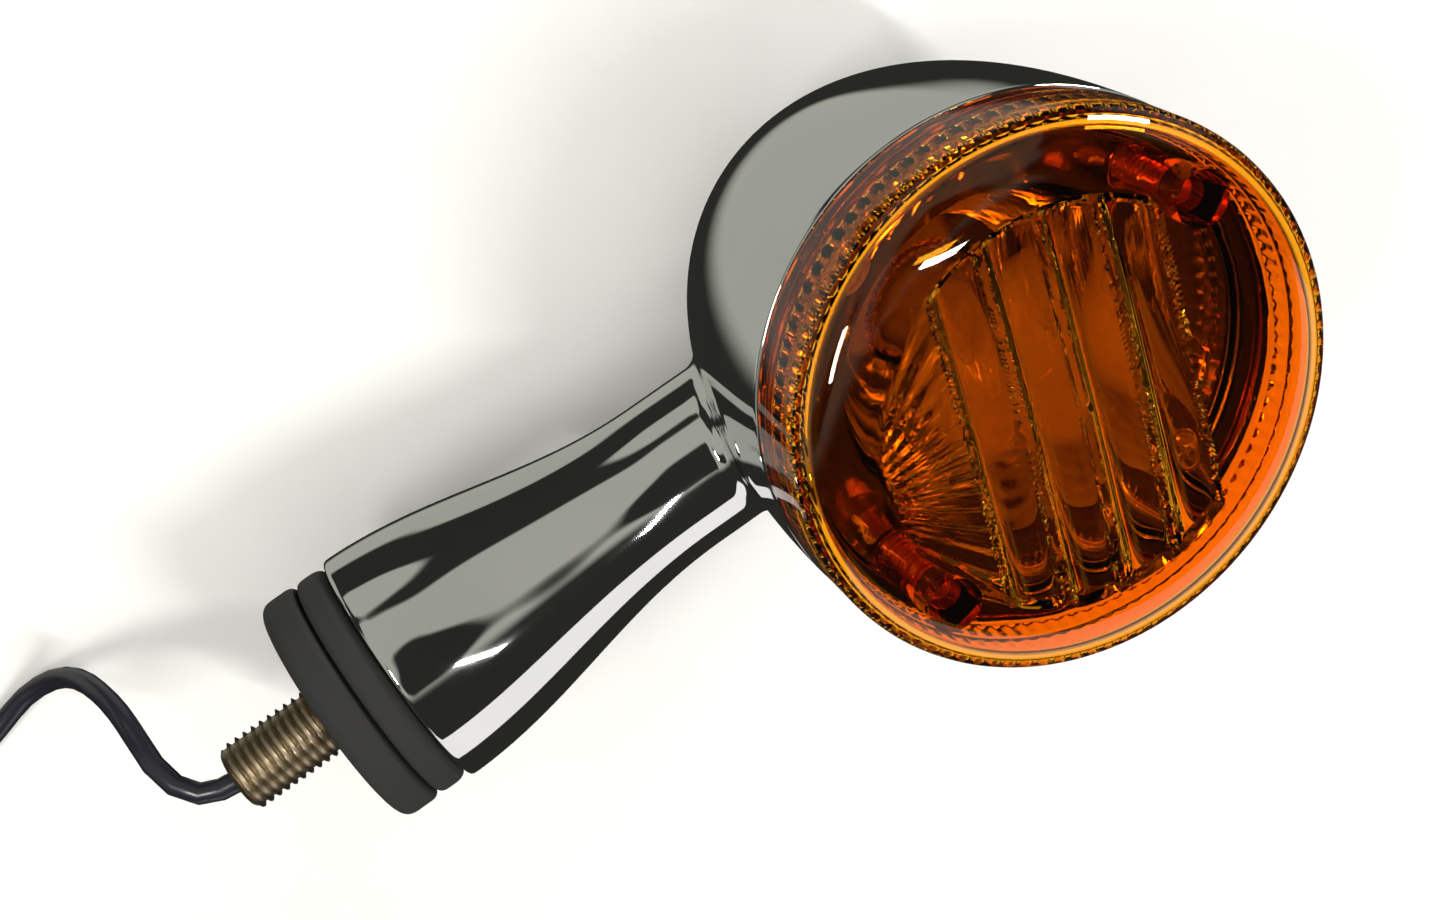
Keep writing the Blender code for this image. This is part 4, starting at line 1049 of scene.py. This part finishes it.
@dataclass(frozen=True)
class Bulb:
    """Bayonet bulb: nickelled cap, clear globe, glass stem and a coiled filament."""

    cap_radius: float = 7.5 * MM
    cap_top: float = 3.6 * MM
    cap_bottom: float = -13.4 * MM
    pin_height: float = -4.0 * MM
    pin_reach: float = 8.75 * MM
    globe_radius: float = 12.4 * MM
    globe_centre: float = 24.2 * MM
    neck: float = 6.4 * MM
    neck_end: float = -7.4 * MM
    glass: float = 0.7 * MM
    stem_low: float = -7.1 * MM
    stem_top: float = 7.9 * MM

    def cap(self) -> bmesh.types.BMesh:
        """Turn the cap and add its two pins.

        Returns:
            The cap's shape.
        """
        low, high, out = self.cap_bottom, self.cap_top, self.cap_radius
        inner = out - 0.5 * MM
        profile = rounded([(0.0, low + 1.6 * MM, 0), (inner, low + 1.6 * MM, 0.3 * MM),
                           (inner, high, 0.1 * MM),
                           (out, high, 0.15 * MM), (out, low, 0.7 * MM), (0.0, low, 0)])
        shapes = [turn(profile, BOWL_AXIS, 96)]
        for side in (1.0, -1.0):
            place = Place((BOWL_X, 0.0, self.pin_height), (side, 0.0, 0.0), (0.0, 0.0, 1.0))
            pin = rounded([(0.0, out - 0.2 * MM, 0), (MM, out - 0.2 * MM, 0), (MM, self.pin_reach, 0.3 * MM),
                           (0.0, self.pin_reach, 0)])
            shapes.append(turn(pin, place, 32))
        return joined(shapes)

    def envelope(self, inset: float) -> list[Point]:
        """Lay out the globe and neck.

        Args:
            inset: How far inside the outer face it runs.

        Returns:
            Points from the crown to the neck's end.
        """
        radius, neck = self.globe_radius - inset, self.neck - inset
        stop = math.pi - math.asin((neck + 1.2 * MM) / radius)
        points = [(radius * math.sin(stop * i / 40), self.globe_centre + radius * math.cos(stop * i / 40))
                  for i in range(41)]
        last = points[-1]
        bend = rounded([(last[0], last[1], 0), (neck, last[1] - 2.2 * MM, 1.6 * MM),
                        (neck, self.neck_end, 0)], count=8)
        return points + bend[1:]

    def filament(self) -> list[Vector]:
        """Lay out the two supports and the coil between them as one wire.

        Returns:
            The wire's points.
        """
        low, high = self.stem_top + 0.3 * MM, self.stem_top + 12.2 * MM
        left = smooth_route([(-1.9 * MM, 0, low), (-2.0 * MM, 0, low + 4 * MM), (-2.7 * MM, 0, high - 2 * MM),
                             (-2.6 * MM, 0, high)], 0.6 * MM)
        turns, points = 9, []
        for i in range(turns * 12 + 1):
            share = i / (turns * 12)
            swing = FULL_TURN * turns * share
            points.append(Vector(((-2.2 + 4.4 * share) * MM, 0.45 * MM * math.sin(swing),
                                  high + 0.45 * MM * math.cos(swing))))
        right = [Vector((-p.x, p.y, p.z)) for p in reversed(left)]
        return [Vector((BOWL_X, 0, 0)) + p for p in left + points + right]

    def build(self) -> list[bpy.types.Object]:
        """Build and dress the bulb.

        Returns:
            Its pieces.
        """
        cap = show("bulb_bayonet_cap", self.cap(), CAP_BRASS, Body.BULB, ["bulb_cap"])
        glass = self.envelope(0.0) + list(reversed(self.envelope(self.glass)))
        globe = show("bulb_globe", turn(glass, BOWL_AXIS, 96), CLEAR_GLASS, Body.BULB,
                     ["bulb_glass"])
        low, top = self.stem_low, self.stem_top
        stem = rounded([(0.0, top, 0), (2.9 * MM, top, 0.9 * MM), (3.0 * MM, low + 4 * MM, 2 * MM),
                        (4.2 * MM, low, 0), (0.0, low, 0)])
        pillar = show("bulb_glass_stem", turn(stem, BOWL_AXIS, 64), CLEAR_GLASS, Body.BULB,
                      ["bulb_stem"])
        lit = wire("bulb_coiled_filament", self.filament(), 0.16 * MM, TUNGSTEN, Body.BULB,
                   ["bulb_filament"])
        bottom = self.cap_bottom - 0.05 * MM
        button = rounded([(0.0, bottom, 0), (2.4 * MM, bottom, 0), (1.9 * MM, bottom - 0.4 * MM, 0.3 * MM),
                          (0.0, bottom - 0.45 * MM, 0)])
        contact = show("bulb_solder_button", turn(button, BOWL_AXIS, 40), SOLDER, Body.BULB,
                       ["bulb_contact"])
        return [cap, globe, pillar, lit, contact]


@dataclass(frozen=True)
class Damper:
    """The moulded rubber damper: two round-edged discs with a groove between them."""

    radius: float = 16.7 * MM
    length: float = 9.8 * MM
    back_disc: float = 5.2 * MM
    groove: float = 2.4 * MM
    bore: float = 5.4 * MM
    corner: float = 1.9 * MM

    def build(self) -> bpy.types.Object:
        """Build and dress the damper.

        Returns:
            The damper's piece.
        """
        split, floor, front = self.back_disc, self.radius - self.groove, self.radius - 0.1 * MM
        profile = rounded([
            (self.bore, 0.0, 0.3 * MM), (self.radius, 0.0, self.corner), (self.radius, split, self.corner),
            (floor, split, 0.3 * MM), (floor, split + 0.35 * MM, 0.3 * MM),
            (front, split + 0.35 * MM, self.corner), (front, self.length, self.corner),
            (self.bore, self.length, 0.3 * MM),
        ], closed=True, count=9)
        return show("rubber_damper", turn(profile, STALK_AXIS, 160, closed=True), RUBBER,
                    Body.LAMP, ["mount_damper"])


@dataclass(frozen=True)
class Stud:
    """The hollow mounting stud with its real thread."""

    radius: float = 5.0 * MM
    depth: float = 0.72 * MM
    pitch: float = 1.25 * MM
    out: float = 14.8 * MM
    bore: float = 2.7 * MM
    root: float = 5.6 * MM
    flange: float = 7.6 * MM
    neck: float = 4.9 * MM
    shoulder: float = 10.4 * MM
    flange_near: float = 23.9 * MM
    flange_far: float = 25.9 * MM

    def build(self) -> bpy.types.Object:
        """Build and dress the stud.

        Returns:
            The stud's piece.
        """
        thread = Thread(self.radius, self.radius - self.depth, self.pitch, -self.out, 0.4 * MM, 0.9 * MM, 96,
                        16)
        rings = thread.rings(STALK_AXIS)
        steps = thread.round_steps
        tail = rounded([(self.neck, 0.5 * MM, 0), (self.neck, self.shoulder, 0),
                        (self.root, self.shoulder, 0.1 * MM), (self.root, self.flange_near, 0),
                        (self.flange, self.flange_near, 0.2 * MM), (self.flange, self.flange_far, 0.2 * MM),
                        (self.bore, self.flange_far, 0.2 * MM), (self.bore, 0.0, 0),
                        (self.bore, -self.out, 0.3 * MM)])
        bore_end = [(self.bore + 0.3 * MM, -self.out)]
        for radius, along in tail + bore_end:
            ring = []
            for k in range(steps):
                angle = FULL_TURN * k / steps
                ring.append(Vector((along, -radius * math.sin(angle), radius * math.cos(angle))))
            rings.append(ring)
        shape = loft(rings + [rings[0]], capped=False)
        return show("threaded_stud", shape, YELLOW_ZINC, Body.LAMP, ["stud"], sharp=50)


@dataclass(frozen=True)
class Lead:
    """The vinyl lead: down from the stud to the floor, into a tied coil, and out in two tails."""

    radius: float = 1.5 * MM
    wire_radius: float = 0.65 * MM
    centre: Point = (-66.0 * MM, 24.0 * MM)
    outer_turn: float = 19.65 * MM
    inner_turn: float = 16.6 * MM
    first_turn: float = 23.3 * MM
    last_turn: float = 23.9 * MM
    rise: float = 3.1 * MM
    first_angle: float = -47.0
    coil_degrees: int = 904
    degree_step: int = 8
    tie_angle: float = 260.0
    tie_circle: float = 18.1 * MM
    tie_height: float = 3.15 * MM
    strap_width: float = 2.5 * MM
    strap_thickness: float = 0.5 * MM
    sleeve_bore: float = 2.05 * MM
    sleeve_radius: float = 2.4 * MM
    route: Sequence[Spot] = (
        (-15.1, 0.0, 0.0), (-17.3, 0.2, -0.2), (-19.9, 1.2, -0.8), (-21.9, 3.6, -2.2),
        (-22.8, 6.6, -4.6), (-23.1, 9.4, -8.4), (-23.8, 11.4, -13.6), (-25.4, 12.6, -20.0),
        (-28.0, 13.0, -27.0), (-32.0, 12.4, -33.0), (-37.5, 11.0, -36.9), (-43.5, 8.9, -37.9),
        (-50.2, 6.9, -38.0),
    )
    signal_route: Sequence[Spot] = (
        (-82.0, 42.6, -38.3), (-80.9, 43.6, -38.6), (-79.2, 46.0, -38.8), (-77.6, 48.2, -38.2),
        (-76.4, 50.95, -37.2),
    )
    earth_route: Sequence[Spot] = (
        (-80.9, 41.8, -38.3), (-77.9, 43.6, -38.9), (-75.2, 46.2, -38.9), (-71.8, 48.4, -38.2),
        (-67.8, 49.9, -37.2),
    )

    def coil(self) -> list[Vector]:
        """Lay out two and a half turns of coil, from where the lead meets the floor to the sheath's end.

        Returns:
            The coil's points.
        """
        points = []
        for turned in range(self.degree_step, self.coil_degrees + 1, self.degree_step):
            radius = self.first_turn + (self.outer_turn - self.first_turn) * smoothstep(0, 60, turned)
            radius += (self.inner_turn - self.outer_turn) * smoothstep(330, 400, turned)
            radius += (self.last_turn - self.inner_turn) * smoothstep(770, 860, turned)
            height = FLOOR + self.radius + self.rise * (
                smoothstep(650, 740, turned) - smoothstep(855, self.coil_degrees, turned))
            x, y = on_circle(radius, self.first_angle - turned, self.centre)
            points.append(Vector((x, y, height)))
        return points

    def tail(self, name: str, route: Sequence[Spot], finish: Finish, slot: str) -> list[bpy.types.Object]:
        """Build one tail wire with its bullet and clear sleeve.

        Args:
            name: Which tail it is.
            route: The wire's route in millimetres.
            finish: The wire's surface.
            slot: The wire's material slot; it is not used.

        Returns:
            The tail's pieces.
        """
        points = smooth_route([Vector(p) * MM for p in route], 0.8 * MM)
        strand = wire(f"tail_wire_{name}", points, self.wire_radius, finish, Body.LAMP,
                      [f"tail_{name}"])
        heading = (points[-1] - points[-4]).copy()
        heading.z = 0
        heading.normalize()
        place = Place(tuple(points[-1]), tuple(heading), (0.0, 0.0, 1.0))
        nose = 11.7 * MM
        bullet = rounded([(0.0, 13 * MM, 0), (1.2 * MM, 13 * MM, 0.8 * MM), (1.9 * MM, nose, 0.5 * MM),
                          (1.9 * MM, nose - 2.1 * MM, 0.3 * MM), (1.2 * MM, nose - 2.9 * MM, 0.3 * MM),
                          (1.2 * MM, nose - 5.2 * MM, 0.3 * MM), (1.7 * MM, nose - 5.7 * MM, 0.2 * MM),
                          (1.7 * MM, 0.2 * MM, 0.2 * MM), (0.0, 0.2 * MM, 0)])
        brass = show(f"brass_bullet_{name}", turn(bullet, place, 40), BRASS, Body.LAMP,
                     [f"bullet_{name}"])
        ring = rounded([(self.sleeve_bore, 7.8 * MM, 0.1 * MM), (self.sleeve_radius, 7.8 * MM, 0.1 * MM),
                        (self.sleeve_radius, -1.2 * MM, 0.1 * MM), (self.sleeve_bore, -1.2 * MM, 0.1 * MM)],
                       closed=True, count=3)
        sleeve = show(f"clear_sleeve_{name}", turn(ring, place, 40, closed=True), CLEAR_VINYL,
                      Body.LAMP, [f"bullet_sleeve_{name}"])
        return [strand, brass, sleeve]

    def tie(self) -> bpy.types.Object:
        """Build the strap round the coil.

        Returns:
            The strap's piece.
        """
        x, y = on_circle(self.tie_circle, self.tie_angle, self.centre)
        turned = Matrix.Rotation(math.radians(self.tie_angle), 3, "Z")
        across, up = turned @ Vector((1, 0, 0)), Vector((0, 0, 1))
        along = turned @ Vector((0, 1, 0))
        middle = Vector((x, y, FLOOR + self.tie_height))
        loop = rounded([(-3.75 * MM, -3.05 * MM, 1.4 * MM), (3.75 * MM, -3.05 * MM, 1.4 * MM),
                        (3.75 * MM, 3.45 * MM, 1.4 * MM), (-3.75 * MM, 3.45 * MM, 1.4 * MM)], closed=True,
                       count=7)
        rings = []
        half, thick = self.strap_width / 2, self.strap_thickness
        for side, depth in ((-half, 0.0), (half, 0.0), (half, thick), (-half, thick), (-half, 0.0)):
            ring = []
            for a, b in loop:
                shrink = 1 - depth / math.hypot(a, b)
                ring.append(middle + across * a * shrink + up * b * shrink + along * side)
            rings.append(ring)
        strap = loft(rings, capped=False)
        head = box_shape((2.6 * MM, 3.6 * MM, 1.6 * MM), middle + up * 4.0 * MM, self.tie_angle)
        bmesh.ops.bevel(head, geom=head.edges[:], offset=0.3 * MM, affect="EDGES", segments=2, profile=0.5,
                        material=-1)
        return show("nylon_tie", joined([strap, head]), NYLON, Body.LAMP, ["coil_tie"])

    def build(self) -> bpy.types.Object:
        """Build and dress the lead and what is on it.

        Returns:
            The lead's piece.
        """
        points = smooth_route([Vector(p) * MM for p in self.route], 3.2 * MM) + self.coil()
        lead = wire("vinyl_lead", points, self.radius, BLACK_VINYL, Body.LAMP,
                    ["lead", "lead_coil"])
        extras = self.tail("signal", self.signal_route, BLUE_VINYL, "blue_vinyl")
        extras += self.tail("earth", self.earth_route, BLACK_VINYL, "black_vinyl")
        extras.append(self.tie())
        return lead


@dataclass(frozen=True)
class Camera:
    """The scene's camera, rolled so that the stalk rises to the right."""

    target: Spot = (60.85 * MM, -2.31 * MM, 0.0)
    azimuth: float = 100.67
    elevation: float = 61.26
    distance: float = 280.0 * MM
    roll: float = 135.6
    lens: float = 52.24

    def build(self) -> bpy.types.Object:
        """Place the camera.

        Returns:
            The camera.
        """
        az, el, roll = (math.radians(v) for v in (self.azimuth, self.elevation, self.roll))
        back = Vector((math.cos(el) * math.cos(az), math.cos(el) * math.sin(az), math.sin(el)))
        level = (-back).cross(Vector((0, 0, 1))).normalized()
        rise = level.cross(-back)
        right = math.cos(roll) * level + math.sin(roll) * rise
        up = -math.sin(roll) * level + math.cos(roll) * rise
        data = bpy.data.cameras.new("camera")
        data.lens, data.sensor_width = self.lens, 36.0
        data.clip_start, data.clip_end = 0.01, 20.0
        camera = bpy.data.objects.new("camera", data)
        camera.matrix_world = Matrix.Translation(Vector(self.target) + back * self.distance) @ Matrix(
            (right, up, back)).transposed().to_4x4()
        bpy.context.scene.collection.objects.link(camera)
        bpy.context.scene.camera = camera
        return camera


@dataclass(frozen=True)
class SoftLight:
    """One soft box, aimed at the lamp."""

    name: str
    direction: Spot
    distance: float
    size: Point
    power: float
    colour: Colour = (1.0, 0.98, 0.95)
    along: Spot = (1.0, 0.0, 0.0)
    mirrored: bool = True
    aim: Spot = (0.08, 0.0, 0.03)

    def build(self) -> None:
        """Place the soft box."""
        data = bpy.data.lights.new(self.name, "AREA")
        data.shape = "RECTANGLE"
        data.size, data.size_y = self.size
        data.energy = self.power
        data.color = self.colour
        lamp = bpy.data.objects.new(self.name, data)
        away = Vector(self.direction).normalized()
        across = away.cross(Vector(self.along)).normalized()
        lamp.matrix_world = Matrix.Translation(Vector(self.aim) + away * self.distance) @ Matrix(
            (across.cross(away), across, away)).transposed().to_4x4()
        lamp.visible_glossy = lamp.visible_transmission = self.mirrored
        bpy.context.scene.collection.objects.link(lamp)


@dataclass(frozen=True)
class Studio:
    """Pale floor, dim olive room and soft boxes."""

    room: Colour = (0.23, 0.23, 0.20)
    lights: Sequence[SoftLight] = (
        SoftLight("soft_fill", (0.0, 0.1, 1.0), 1.2, (1.6, 1.6), 11.0, mirrored=False),
        SoftLight("ceiling_tube", (0.155, -0.11, 0.98), 0.8, (0.24, 0.02), 2.6, along=(0.17, -0.33, -0.09)),
        SoftLight("window", (0.90, 0.42, 0.10), 0.55, (0.16, 0.10), 2.0, (1.0, 0.99, 0.97),
                  along=(-0.42, 0.90, 0.0)),
        SoftLight("side_lamp", (-0.55, 0.35, 0.76), 0.8, (0.20, 0.07), 2.4, (1.0, 0.96, 0.9),
                  along=(0.5, 0.8, 0.0)),
        SoftLight("white_table", (0.0, -0.93, 0.36), 0.45, (1.3, 0.26), 1.0, along=(1.0, 0.0, 0.0)),
    )

    def build_floor(self) -> None:
        """Lay the floor."""
        shape = bmesh.new()
        bmesh.ops.create_grid(shape, x_segments=1, y_segments=1, size=4.0)
        bmesh.ops.translate(shape, verts=shape.verts, vec=(0, 0, FLOOR - 0.05 * MM))
        mesh = bpy.data.meshes.new("floor")
        shape.to_mesh(mesh)
        shape.free()
        mesh.materials.append(PALE_FLOOR.material())
        floor = bpy.data.objects.new("floor", mesh)
        bpy.context.scene.collection.objects.link(floor)
        floor.visible_glossy = False

    def build_room(self) -> None:
        """Colour the room that bright metal mirrors."""
        world = bpy.data.worlds.new("room")
        world.use_nodes = True
        nodes, links = world.node_tree.nodes, world.node_tree.links
        background = nodes["Background"]
        coords = nodes.new("ShaderNodeTexCoord").outputs["Generated"]
        noise = nodes.new("ShaderNodeTexNoise")
        noise.inputs["Scale"].default_value = 1.9
        noise.inputs["Detail"].default_value = 0.5
        links.new(coords, noise.inputs["Vector"])
        axes = nodes.new("ShaderNodeSeparateXYZ")
        links.new(coords, axes.inputs["Vector"])
        side = nodes.new("ShaderNodeMapRange")
        side.interpolation_type = "SMOOTHSTEP"
        side.inputs["From Min"].default_value = -0.12
        side.inputs["From Max"].default_value = 0.06
        links.new(axes.outputs["Y"], side.inputs["Value"])
        shapes = nodes.new("ShaderNodeMapRange")
        shapes.interpolation_type = "SMOOTHSTEP"
        shapes.inputs["From Min"].default_value = 0.44
        shapes.inputs["From Max"].default_value = 0.50
        links.new(noise.outputs["Fac"], shapes.inputs["Value"])
        both = nodes.new("ShaderNodeMath")
        both.operation = "MULTIPLY"
        links.new(side.outputs["Result"], both.inputs[0])
        links.new(shapes.outputs["Result"], both.inputs[1])
        ramp = nodes.new("ShaderNodeValToRGB")
        ramp.color_ramp.elements[0].color = (*(c * 0.1 for c in self.room), 1)
        ramp.color_ramp.elements[1].color = (*(c * 1.7 for c in self.room), 1)
        links.new(both.outputs["Value"], ramp.inputs["Fac"])
        links.new(ramp.outputs["Color"], background.inputs["Color"])
        background.inputs["Strength"].default_value = 1.0
        bpy.context.scene.world = world

    def build(self) -> None:
        """Build the floor, the room and the lights."""
        self.build_floor()
        self.build_room()
        for light in self.lights:
            light.build()
        bpy.context.scene.view_settings.view_transform = "Standard"


def dress_packed_nodes(nodes: dict[str, bpy.types.Object]) -> None:
    """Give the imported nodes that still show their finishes.

    Args:
        nodes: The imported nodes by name.
    """
    for name, (finish, slot) in CAD_FINISHES.items():
        piece = nodes[name]
        piece.data.materials.clear()
        piece.data.materials.append(finish.material())


def main() -> None:
    """Build the whole object, its camera and its studio."""
    logging.basicConfig(level=logging.INFO)
    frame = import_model()
    Camera().build()
    steps: Sequence[tuple[str, Callable[[], object]]] = (
        ("lead", Lead().build), ("housing", Housing().build), ("lens", Lens().build),
        ("reflector", Reflector().build), ("lens screws", LensScrews().build), ("bulb", Bulb().build),
        ("damper", Damper().build), ("stud", Stud().build), ("studio", Studio().build),
    )
    for name, build in steps:
        build()
        LOG.info("built the %s", name)
    dress_packed_nodes(frame["nodes"])


if __name__ == "__main__":
    main()
